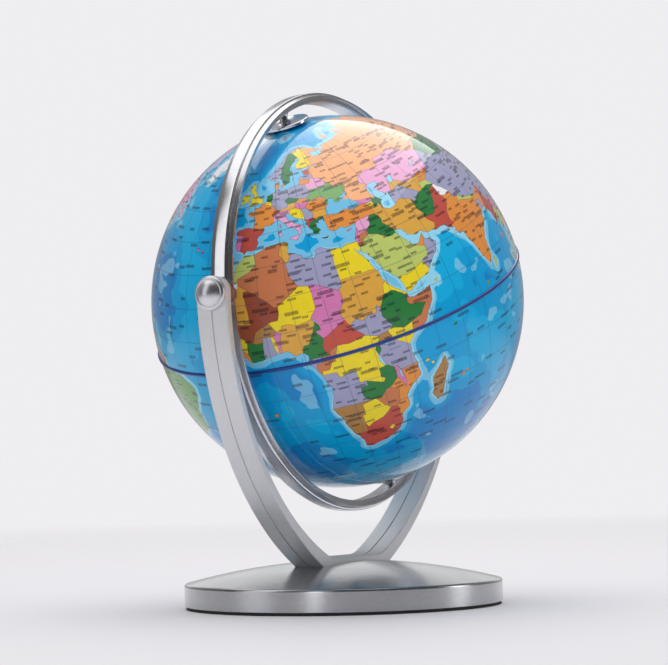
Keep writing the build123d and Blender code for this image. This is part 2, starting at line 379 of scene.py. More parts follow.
def plain_steel(name):
    """Zinc-plated steel with a dull grain."""
    steel = Finish(name, Metallic=1.0)
    grain = steel.noise(1500, 4, 0.6)
    steel.set("Base Color", steel.mix(grain, (0.42, 0.43, 0.44), (0.66, 0.66, 0.64)))
    steel.set("Roughness", 0.3 + 0.25 * grain)
    steel.bump(grain, 0.02 * MM, 0.4)
    return steel.material


def black_foam(name):
    """Closed-cell foam."""
    foam = Finish(name)
    cell = foam.make("ShaderNodeTexVoronoi", None, {"Vector": foam.place, "Scale": 2200.0})
    foam.set("Base Color", foam.mix(cell, (0.006, 0.006, 0.007), (0.022, 0.022, 0.024)))
    foam.set("Roughness", 0.75 + 0.2 * cell)
    foam.bump(cell, 0.15 * MM, 0.8)
    return foam.material


def moulded_plastic(name, tint, rough):
    """Moulded plastic with a fine texture and a slight sheen."""
    plastic = Finish(name, Coat_Weight=0.4, Coat_Roughness=0.1)
    grain = plastic.noise(1800, 3)
    plastic.set("Base Color", plastic.mix(grain, tuple(c * 0.85 for c in tint), tint))
    plastic.set("Roughness", rough + 0.12 * grain)
    plastic.bump(grain, 0.01 * MM, 0.4)
    return plastic.material


GRID_STEP = math.radians(10)                               # between ruled parallels and meridians
LAST_PARALLEL, LAST_MARK = 8.0, 6.4                        # where ruling and place marks stop, in steps


def map_print():
    """The varnished map: inks by area, shelf tints along the coasts, ruled lines and place marks."""
    ink = Finish("globe_print", Coat_Weight=1.0, Coat_Roughness=0.03, Coat_IOR=1.34,
                 Specular_IOR_Level=0.1)
    areas = ink.make("ShaderNodeAttribute", {"attribute_name": "ink"}, output="Color")
    land = areas.other("Alpha")
    shore = ink.make("ShaderNodeAttribute", {"attribute_name": "shore"}, output="Fac")
    gaps = ink.parts(ink.make("ShaderNodeAttribute", {"attribute_name": "edge"}, output="Vector"))
    edge = gaps[0].math("MINIMUM", gaps[1]).math("MINIMUM", gaps[2])

    basin, ridge = ink.noise(26, 3, 0.5), ink.noise(75, 2, 0.5)
    deep, sea, shelf = (tuple(c) for c in (hues().deep, hues().sea, hues().shallow))
    water = ink.mix(shore.over(2.0, 5.0) * basin.over(0.515, 0.525) * 0.85, sea, deep)
    water = ink.mix((1 - basin.over(0.43, 0.44)) * 0.8, water, tuple(hues().bright_sea))
    water = ink.mix(ridge.over(0.645, 0.66) * 0.45, water, shelf)
    water = ink.mix((1 - (shore + ridge * 5).over(3.9, 4.05)) * 0.5, water, shelf)
    water = ink.mix((1 - (shore + basin * 5).over(3.05, 3.2)) * 0.75, water, shelf)

    relief = ink.noise(300, 3, 0.6)
    printed = ink.mix(land, water, ink.mix(relief * 0.16, areas, (0.03, 0.03, 0.03)))

    x, y, z = ink.parts(ink.turned((-sizes().ring_lean, -sizes().polar_tilt, 0),
                                   (0, 0, sizes().pivot_height)))
    out = (x * x + y * y).math("SQRT")
    north = z.math("ARCTAN2", out) / GRID_STEP
    east = (y.math("ARCTAN2", x) - sizes().prime_turn) / GRID_STEP
    far_north = north.math("ABSOLUTE")
    lat_gap = (north - north.math("ROUND")).math("ABSOLUTE") * (GRID_STEP * sizes().globe_radius)
    lon_gap = (east - east.math("ROUND")).math("ABSOLUTE") * out * GRID_STEP
    ruled = 1 - lat_gap.math("MINIMUM", lon_gap).over(0.06 * MM, 0.15 * MM)
    ruled = ruled * (1 - far_north.over(LAST_PARALLEL, LAST_PARALLEL + 0.02))
    printed = ink.mix(ruled * 0.6, printed, (0.004, 0.07, 0.13))
    printed = ink.mix((1 - edge.over(0.06 * MM, 0.14 * MM)) * 0.6, printed, (0.03, 0.03, 0.035))

    small = place_marks(ink, east, north, out, often=2.3, share=0.7, reach=2.3, tall=0.9)
    large = place_marks(ink, east + 0.4, north + 0.3, out, often=1.15, share=0.7, reach=4.4, tall=1.4)
    afloat = place_marks(ink, east + 3.3, north + 1.7, out, often=1.1, share=0.75, reach=3.6, tall=1.2)
    marks = small.math("MAXIMUM", large) * land + afloat * (1 - land)
    marks = marks * (1 - far_north.over(LAST_MARK, LAST_MARK + 0.1))
    ink.set("Base Color", ink.mix(marks * 0.85, printed, (0.01, 0.012, 0.02)))
    ink.set("Roughness", 0.4 + 0.1 * relief)
    ink.bump(ink.noise(900, 2), 0.004 * MM, 0.25)
    return ink.material


def place_marks(ink, east, north, out, often, share, reach, tall):
    """Rows of short plain strokes along the parallels, where a map would name its places.

    often: cells to a grid step; share: how many cells have one; reach, tall: its half length and height, mm.
    """
    flatter = 1.5                                          # how much wider than tall a cell is
    flat = ink.make("ShaderNodeCombineXYZ", None, {"X": east, "Y": north * flatter})
    cells = ink.make("ShaderNodeTexVoronoi", {"voronoi_dimensions": "2D"},
                     {"Vector": flat, "Scale": often, "Randomness": 0.85}, output="Position")
    cell_east, cell_north, _ = ink.parts(cells)
    luck = ink.make("ShaderNodeTexWhiteNoise", {"noise_dimensions": "2D"}, {"Vector": cells})
    longer = ink.parts(luck.other("Color"))[0]
    along = (east - cell_east) * out * GRID_STEP
    above = (north - cell_north / flatter) * (GRID_STEP * sizes().globe_radius)
    ragged = ink.make("ShaderNodeCombineXYZ", None, {"X": along * (1900 / tall),
                                                     "Y": above * 900 + 40 * luck})
    broken = ink.make("ShaderNodeTexNoise", {"noise_dimensions": "2D"}, {"Vector": ragged, "Detail": 1.0})
    past = along.math("ABSOLUTE") - (0.4 + 0.6 * longer) * (reach * MM)
    clear = above.math("ABSOLUTE").over(0.42 * tall * MM, 0.54 * tall * MM)
    stroke = (1 - past.over(0, 0.1 * MM)) * (1 - clear) * broken.over(0.42, 0.48)
    return stroke * luck.math("LESS_THAN", share)


# ---- the map ----------------------------------------------------------------------------------------
# Longitudes and latitudes in degrees. Each row is a closed outline, which runs on over the lines that
# start with a space. A row's first letter is its print colour, and a point leaves it to the countries in
# it. ISLANDS has single spots instead, and WATERS, the seas and lakes cut out of the land, has no letter.
INKS = {
    "y": (232, 208, 36), "t": (196, 118, 76), "b": (150, 74, 52), "m": (208, 120, 174),
    "l": (154, 154, 186), "o": (216, 162, 66), "g": (42, 120, 58), "G": (112, 164, 92),
    "r": (188, 78, 64), "w": (170, 124, 66), "n": (222, 140, 60), "s": (238, 166, 110),
    "p": (226, 160, 200), "v": (184, 198, 104), "k": (232, 232, 236),
}
COASTS = """
. -5.6 36 -6.4 36.8 -8.9 37 -9.4 38.7 -8.7 41 -9.2 43.1 -7.9 43.7 -3.8 43.5 -1.7 43.4 -1.2 45.5 -2.2 47.2
 -4.6 48 -4.6 48.6 -1.7 48.7 -1.8 49.7 0.2 49.6 1.6 50.8 3.5 51.5 4.7 53 7 53.5 8.6 53.8 8.2 56.8 10.5
 57.6 10.8 56.2 9.7 55 10.9 54.2 14 54 18.4 54.8 19.8 54.4 21.1 55.6 21.2 57 22.6 57.7 24.1 57.1 24.4 58.4
 23.6 59.2 29.5 59.8 28.5 60.6 25 60.2 22.9 59.9 21.4 61 21.3 62.7 25.3 65.1 22.3 65.7 21.2 64.4 17.8 62.6
 17.3 60.9 18.7 59.9 16.7 58.5 16 56.3 14.3 55.6 13 55.5 11.4 58.8 10.5 59.3 8.2 58.2 5.6 58.8 5 61 9.7
 63.8 13 66 15 68 19.5 69.9 25.7 71 31 70.3 33.5 69.4 40.8 67.2 40.5 66.3 34 66.7 32.7 66.9 34.8 64.4 38
 64 40.2 64.8 40.3 65.8 44 66.2 43.8 68.3 46.5 67.8 54 68.4 60 68.8 60.5 69.9 65 69.2 68.6 68.3 66.8 69.7
 67 71.4 69 72.9 72.8 72.6 72.5 70.5 73.8 68.2 74.5 72.8 80.7 73.5 87 75 98 76.2 104.3 77.7 113.5 75.8 109
 73.8 118 73.2 127 73.4 129.5 71.2 133 71.7 140 72.5 150 71.5 160 69.7 170 69.8 178 69.3 -175 67.3 -170
 66.1 -172.8 64.4 -178.5 65.4 178.5 64.6 177 62.5 171 60 163.5 59.8 162 58 163.2 56.2 160 54.5 156.7 51
 155.7 56 161.5 60.4 156.7 61.6 151 59.2 142.5 59.3 135.3 54.7 141 53 140 48.5 135.5 44 130.8 42.5 127.5
 39.8 129.4 37 129 35.3 126.5 34.5 126.6 37.2 124.8 38 125 39.5 121.5 39 121 40.8 118 39.2 119 37.4 122.5
 37.2 119.3 35 121.8 32 121.8 30.5 120 27 117 23.7 114 22.4 110.4 21.2 108 21.6 105.8 19 108.8 15.3 109.2
 12 106.7 10.4 104.8 8.6 105 10.4 102.3 12.2 100.9 13.4 99.9 12.5 99.3 9.5 100.4 7 103.4 4.5 103.5 1.5
 101.3 2.8 100.4 6 98.3 8 98.5 12 97.6 16.3 94.3 16 94.4 19 91.8 22.4 88.5 21.8 86.9 20.8 82.3 16.7 80.2
 15.5 80.2 12.5 79.8 10.3 77.6 8.1 76.3 10 74.5 13.5 72.9 18.5 72.7 21 70.5 20.9 69 22.3 70.3 22.9 67.3
 24.2 66.5 25.4 61.6 25.2 57.3 25.8 56.5 27.1 54 26.6 51.4 27.9 50 30 48 30.3 48.3 28.5 50 26.6 50.8 24.8
 51.2 26.1 51.6 24.3 54 24.2 56.3 26.2 56.6 24.3 59.8 22.5 57.8 19.5 55.2 17.5 52.2 15.7 47 13.5 45 12.8
 43.4 12.7 42.7 16.5 39.2 21 37.2 24.8 35 28 34.9 29.4 34.3 27.9 32.6 29.8 33.8 27.3 35.6 24.5 35.5 23.9
 37.2 21 37.4 18.8 39.8 15.2 43.2 12.4 43.4 11.5 45 10.5 51.1 11.9 50.8 9.4 47.9 4.4 43 -0.5 39.7 -4.2
 38.9 -6.8 40.6 -10.7 40.6 -15 36.8 -18 34.8 -20 35.5 -24 32.8 -25.8 32.6 -28 30.5 -31.2 27.5 -33.3 25.6
 -34 20 -34.8 18.4 -34.2 18.2 -31.8 15.3 -27 14.4 -22.5 11.8 -17.5 13.8 -11 12.2 -6 9 -1 9.8 3.2 8.6 4.6 6
 4.3 4.4 6.3 1.2 6 -2 4.8 -7.6 4.4 -11.3 6.8 -13.3 9 -15 11 -16.8 12.5 -17.4 14.7 -16.2 18.8 -17 21 -14.9
 25.3 -11.5 28.3 -9.7 30 -9.3 32.5 -6.8 34 -5.9 35.7 -2.2 35.2 3 36.8 9.8 37.3 10.9 36.9 10.7 35.3 10.2
 34.2 11.2 33.2 15.2 32.3 15.8 31.4 19 30.3 20.1 31 20.1 32.2 21.6 32.9 23.2 32.3 25.2 31.6 29 30.8 31
 31.5 32.3 31.2 34.2 31.3 35 32.8 36 34.8 36 36.7 34 36.2 32.3 36.1 30.6 36.8 29 36.2 27.4 36.7 26.3 38.3
 26.2 39.4 27 40.4 26.2 40.1 26 40.8 24 40.8 23.6 40 22.7 40.4 23 39 24 38 23 37.4 22.9 36.5 21.7 36.8
 21.2 38.3 19.4 40.6 19.5 41.8 15.5 44 13.7 45 13.5 45.7 12.3 45.2 12.5 44.1 13.7 43.4 16 41.8 18.5 40.1
 17 40.5 16.6 39.7 17.1 39 15.7 38 15.9 39.5 14.3 40.8 12.2 41.8 10.4 43 9 44.4 7.4 43.8 5 43.3 3.2 43.2
 3.2 41.9 0.5 40.5 -0.3 39.4 0.1 38.7 -0.8 37.6 -2.1 36.7 -4.4 36.7
p -168 65.6 -162 66.5 -166 68.5 -156.7 71.3 -141 69.7 -128 70.2 -115 68.5 -108 67.8 -96 68 -94.5 72 -91
 69.5 -85 69.7 -81.5 69 -82 67.5 -87 64 -94 61 -94.7 58.8 -92.5 57 -88 56.5 -82.3 55.2 -82 53 -80 51.3 -79
 52 -79 54.7 -77 56.5 -78 62.4 -73.5 62.2 -69.5 59 -65 60.2 -62 57 -57.5 54.5 -56 52 -60 50.2 -66.5 50.2
 -70 47 -65 49 -64.5 47.8 -66 46 -61 45.3 -65.8 43.6 -66 45 -70 43.8 -70.5 42 -74 40.6 -76 37 -75.6 35.3
 -78 33.8 -81.3 31.5 -80 26.8 -80.5 25.2 -81.9 26.4 -82.8 28.5 -84 30 -89.3 30.3 -90.3 29.2 -94 29.6 -97.2
 27.8 -97.7 24 -97.5 21.5 -95.8 18.8 -94 18.2 -91 18.7 -90.4 21 -87 21.5 -87.7 18.3 -88.8 16 -84 15.8
 -83.3 15 -83.6 11 -82 9 -79.5 9.6 -77.3 8.6 -77.5 7.5 -79.5 7.6 -81 7.8 -83.5 8.6 -85.8 10.6 -87.6 12.9
 -91.5 14 -94.5 16.2 -97 15.8 -101.5 17.6 -105.5 20.3 -106 23 -109.3 26 -112.5 29.8 -114.7 31.7 -114.6
 30.5 -112 27 -109.5 23.2 -110.3 23.5 -112.3 26 -114.2 27.2 -116 30.5 -117.2 32.8 -120.6 34.6 -123.8 39.5
 -124.4 43 -124 46.3 -124.6 48.3 -122.5 49 -127.5 51 -130 54.5 -134 58 -139 59.8 -146 60.8 -148.5 60 -152
 59.2 -151 61.2 -154 58.8 -158 56.6 -164 54.6 -160 56.2 -157.5 58.6 -162 58.8 -162 60 -165.8 61.5 -163.8
 63.2 -161 64.3 -166.3 64.5
G -77.3 8.4 -74.9 11 -71.7 12.4 -71.3 11 -70 12 -68.3 10.8 -62 10.7 -60 8.4 -57 6 -52 4.6 -50 1.8 -50.2 0
 -48.5 -1 -44.5 -2.5 -40 -2.9 -37 -4.7 -35.1 -5.8 -34.8 -8.2 -37.2 -11.8 -39 -14 -39.2 -17.8 -41 -22 -44.8
 -23.2 -48.5 -26 -48.7 -28.5 -50.2 -30.8 -53.5 -34 -56 -34.8 -58.4 -34 -57 -36.5 -58.2 -38.4 -62.2 -39
 -62.3 -40.7 -65 -41 -63.6 -42.7 -65.4 -44.8 -67.5 -46.2 -65.8 -47.8 -69 -50.6 -68.3 -52.5 -65.2 -54.7
 -68.5 -55.3 -72 -53.5 -74.6 -51 -75.4 -47 -73.2 -44 -73.8 -41.8 -73.3 -38 -71.5 -33 -71.3 -29 -70.4 -24
 -70.3 -18.4 -76 -14 -79 -8 -81.2 -5.5 -80 -3.2 -80.8 -1.5 -79.8 0.9 -78.7 1.7 -77.2 4 -77.5 7
k -73 78.3 -66 80.5 -60 82 -45 82.6 -32 83.6 -20 82.5 -11.5 81.5 -19 79 -18.5 76.5 -22 74 -22 72 -27 70.5
 -22.5 70.3 -32 68 -40 65 -42.5 61 -44 60 -48 61 -51.5 64 -53.5 67 -51 69.5 -54.5 71 -58 75.2 -68 76
n 113.7 -22.5 114 -26 115 -31 115 -34.2 118 -35 123.5 -34 129 -31.7 132 -32 135.6 -34.8 137.8 -32.7 137
 -35 138.3 -35 140.5 -38 144.6 -38.3 146.3 -39 150 -37.3 151.3 -33.5 153.5 -28.5 153 -25.5 149 -21 146
 -18.8 145.3 -15 143.6 -14 142.5 -10.8 141.5 -13.5 140.8 -17.5 139 -17.3 135.7 -15 136.8 -12.2 133 -11.5
 130.5 -12.5 129.3 -15 126 -14 122.3 -17.5 119 -20
k -57 -63.4 -62 -65.5 -68 -69 -75 -72 -100 -72.5 -125 -73.8 -150 -77 -158 -78.2 180 -78.3 165 -78 163 -75
 170 -71.5 160 -69.6 145 -67 130 -66.2 110 -66 90 -66.7 75 -69.5 68 -68 55 -66 40 -69 20 -70 0 -70 -12 -72
 -25 -75 -35 -78 -60 -77 -61 -72 -63 -67.5
y -5.5 50.1 -3.5 50.4 1.4 51.2 1.7 52.7 0.3 53 -0.2 54 -1.6 55.5 -3 56 -2 57.6 -4 57.8 -3.1 58.6 -5 58.6
 -6.2 56.7 -4.9 55 -3.2 54.9 -3 53.5 -4.6 53.3 -4.2 52.3 -5.2 51.9 -3 51.5 -4.3 51.1
y -6 52.2 -9.8 51.6 -10 54.2 -8 55.3 -5.6 54.6
m -22.6 63.9 -18.5 63.5 -14 64.8 -14.8 66.2 -20 66 -22.4 66.4 -24.3 65.5
w 49.3 -12.1 50.4 -15.6 49.4 -18 47.2 -25 45.3 -25.5 43.5 -22.5 44.4 -19.8 44.2 -17 46.5 -15.5
r 131 34.2 135 33.6 136.8 34.4 139 34.8 140.8 35.7 141.9 39.5 141.3 41.4 140 40.5 139.5 38.2 136.8 37.2
 135.8 35.6 132.5 35.4
r 130 33.4 131.9 33.2 131 31.2 129.9 32.4
r 140 41.5 141.2 42.3 143.3 42 145.5 43.3 141.8 45.4
s 142 46.2 143.5 49 142.7 54.2 142 51
l 120.1 23 121 22 121.9 25.2
l 108.7 19.3 110.5 18.5 111 20
p 120.3 16 120.6 18.5 122.2 18.4 121.5 16 124 13 121 13.7
p 122 7 125.5 9.7 126.3 7.5 125.5 5.8 124 6.8
p 122.5 10.5 125 12.3 124 9.8
o 109 1.5 111.5 2.5 115 5.2 117 7 119 5.2 117.7 3.5 118.9 1 117.5 0.8 116.2 -3.8 114.5 -4 110.3 -2.9 109
 -0.4
o 95.3 5.6 98 4.2 103.5 0 106 -3 105.7 -5.8 102.3 -4 99 0 97 3
o 105.2 -6.8 106.5 -6 111 -6.5 114.5 -7.7 114.4 -8.6 108 -7.8
o 119.5 -5.5 119.4 -3.3 120 0.5 123.5 0.9 125 1.6 121 0.2 120.3 -1 123.3 -0.9 121.5 -2 122.8 -4.5 121 -3
g 131 -0.8 134.2 -0.8 135 -3.3 138 -1.7 144.5 -3.9 147.8 -6 150.8 -10.5 147.5 -9.8 143.5 -8.6 142.5 -9.3
 139 -8 137.8 -5.3 133 -4
v 172.7 -34.5 175.5 -36.8 178.4 -37.7 175.3 -41.6 174 -39.5 174.7 -38
v 172.7 -40.6 174.3 -41.7 171.2 -44.3 170.5 -46 168.3 -46.6 166.6 -45.8 171 -42.5
v 79.8 8 80.2 9.8 81.8 7.5 80.5 6
n 144.7 -40.8 148.3 -40.9 146.8 -43.6
l -84.8 21.9 -82.5 23.1 -77 21.8 -74.2 20.2 -77.6 19.9 -78.5 21.4
y -74.4 18.5 -72.8 19.9 -68.5 18.6 -71.4 17.7
p -59.2 47.7 -56 51.5 -53 48 -55 46.9
p -73 71 -80 73.7 -90 73.5 -88 71 -78 70 -73 68 -72.5 65 -68 62.5 -64.5 63.5 -65 65.5 -62 66.7 -67 69
p -90 76.5 -78 76.5 -75 79 -62 82.3 -75 83 -92 81.5 -85 79
p -117 69.5 -105 69 -105 72.7 -117 73
p -125 72 -120 71.5 -119 74 -124 74.2
p -110 75 -98 75 -95 77 -110 77.5
s 52 71.3 57.5 70.6 55.5 73 61 75.8 68.5 76.8 60 76 54 73.5
l 11 79 17 76.7 22 78.4 27 80 16 80
s 95 79 105 78.8 98 81
s 138 75 150 75 142 76
m 12.5 38 15.5 38.2 15.1 36.8
m 8.2 40.8 9.6 41 9.6 39.2 8.5 39
n 8.7 42.5 9.4 42.9 9.4 41.5
g 23.6 35.5 26.3 35.2 24.8 34.9
m 32.3 35 34.5 35.6 33.9 34.9
y 53.3 12.7 54.5 12.7 54 12.2
r 11.2 55.6 12.5 56 12.2 55
g 18.2 57.2 19 57.9 18.6 57
o 124 -9.7 127 -8.3 125.5 -9.5
o 127.5 0 128.3 2 128.3 -0.5
o 128 -3.2 130.5 -3 129.5 -3.8
y -78.3 18 -77.3 18.5 -76.4 18
l -61 -51.5 -58 -51.4 -59.3 -52.3
"""
ISLANDS = """
r -16.6 28.2 -14 28.5 -17.8 28.6
m -17 32.7
m -28.2 38.6 -25.4 37.8
o -23.6 15.1 -25 17 -24.3 16
y 43.4 -11.7 45.2 -12.9
n 57.6 -20.3 55.6 -21.1
g 55.5 -4.7
v 73.2 4 73 1
n 92.8 12.5 93 11.5
o -155.5 19.6 -157.8 21.4 -159.5 22
m 178 -17.8 165.5 -21.3 167.2 -15.5 160 -9.5 159 -8
g -91 -0.5
o -66.3 18.2
y -61.3 10.4
n -37 -54.4 69.5 -49.3
n -5.7 -16 -14.4 -8
r 144.7 13.5 -149.5 -17.6 -172 -13.8 -175 -21
"""
WATERS = """
28 41.7 28.2 43.5 30.8 46.5 33 46 32.5 45.3 33.6 44.5 36.5 45.2 38.5 44.4 41.5 42 41.3 41.3 38 41 35 42
 31.5 41.3
35 46.2 38.2 47 39.2 47.1 38.2 46 37.2 45.6 35.3 45.5
47.5 45.5 49 46.6 53 46.8 53 45.2 50.5 44.5 52.7 42.5 52.8 41.2 54 42 54.2 37 51 36.7 49 37.7 49.3 39.5
 50.2 40.4 48.5 42 47.5 43.5
58.5 45.5 60.5 46.5 61.5 45.5 60 44 58.5 44
31.8 -0.8 33.8 0.3 34.1 -0.5 33.4 -2.4 31.8 -2.5
29.2 -3.4 29.8 -5 31.1 -8.6 30.3 -8 29.3 -6
34 -9.6 34.9 -12 35 -14.3 34.3 -12.5
13.5 13.5 14.8 13.2 14.2 12.7
30.5 60.2 32.5 61.4 32.8 60.3
104 51.6 106 52.6 109.7 55.6 109 54 106.5 51.9
74 45.3 75 46.6 79 46.6 76 46
-92 46.8 -88.5 48.7 -85 47.8 -84.6 46.6 -88 47
-87.8 42 -87.5 44.5 -85 46 -86.3 43.5 -86.6 42
-84.5 46 -81 46 -80 44.6 -82 43.2 -83.5 44
-83 41.7 -79 43 -78.9 42.7 -82.5 41.4
-79.7 43.4 -76.3 44 -76.4 43.5
-123 65.2 -120 66.8 -118 66 -121 65
-116 61 -110 62.6 -111 61.6
-98.5 53.5 -97 50.5 -96.5 51.5 -97.5 53.8
"""
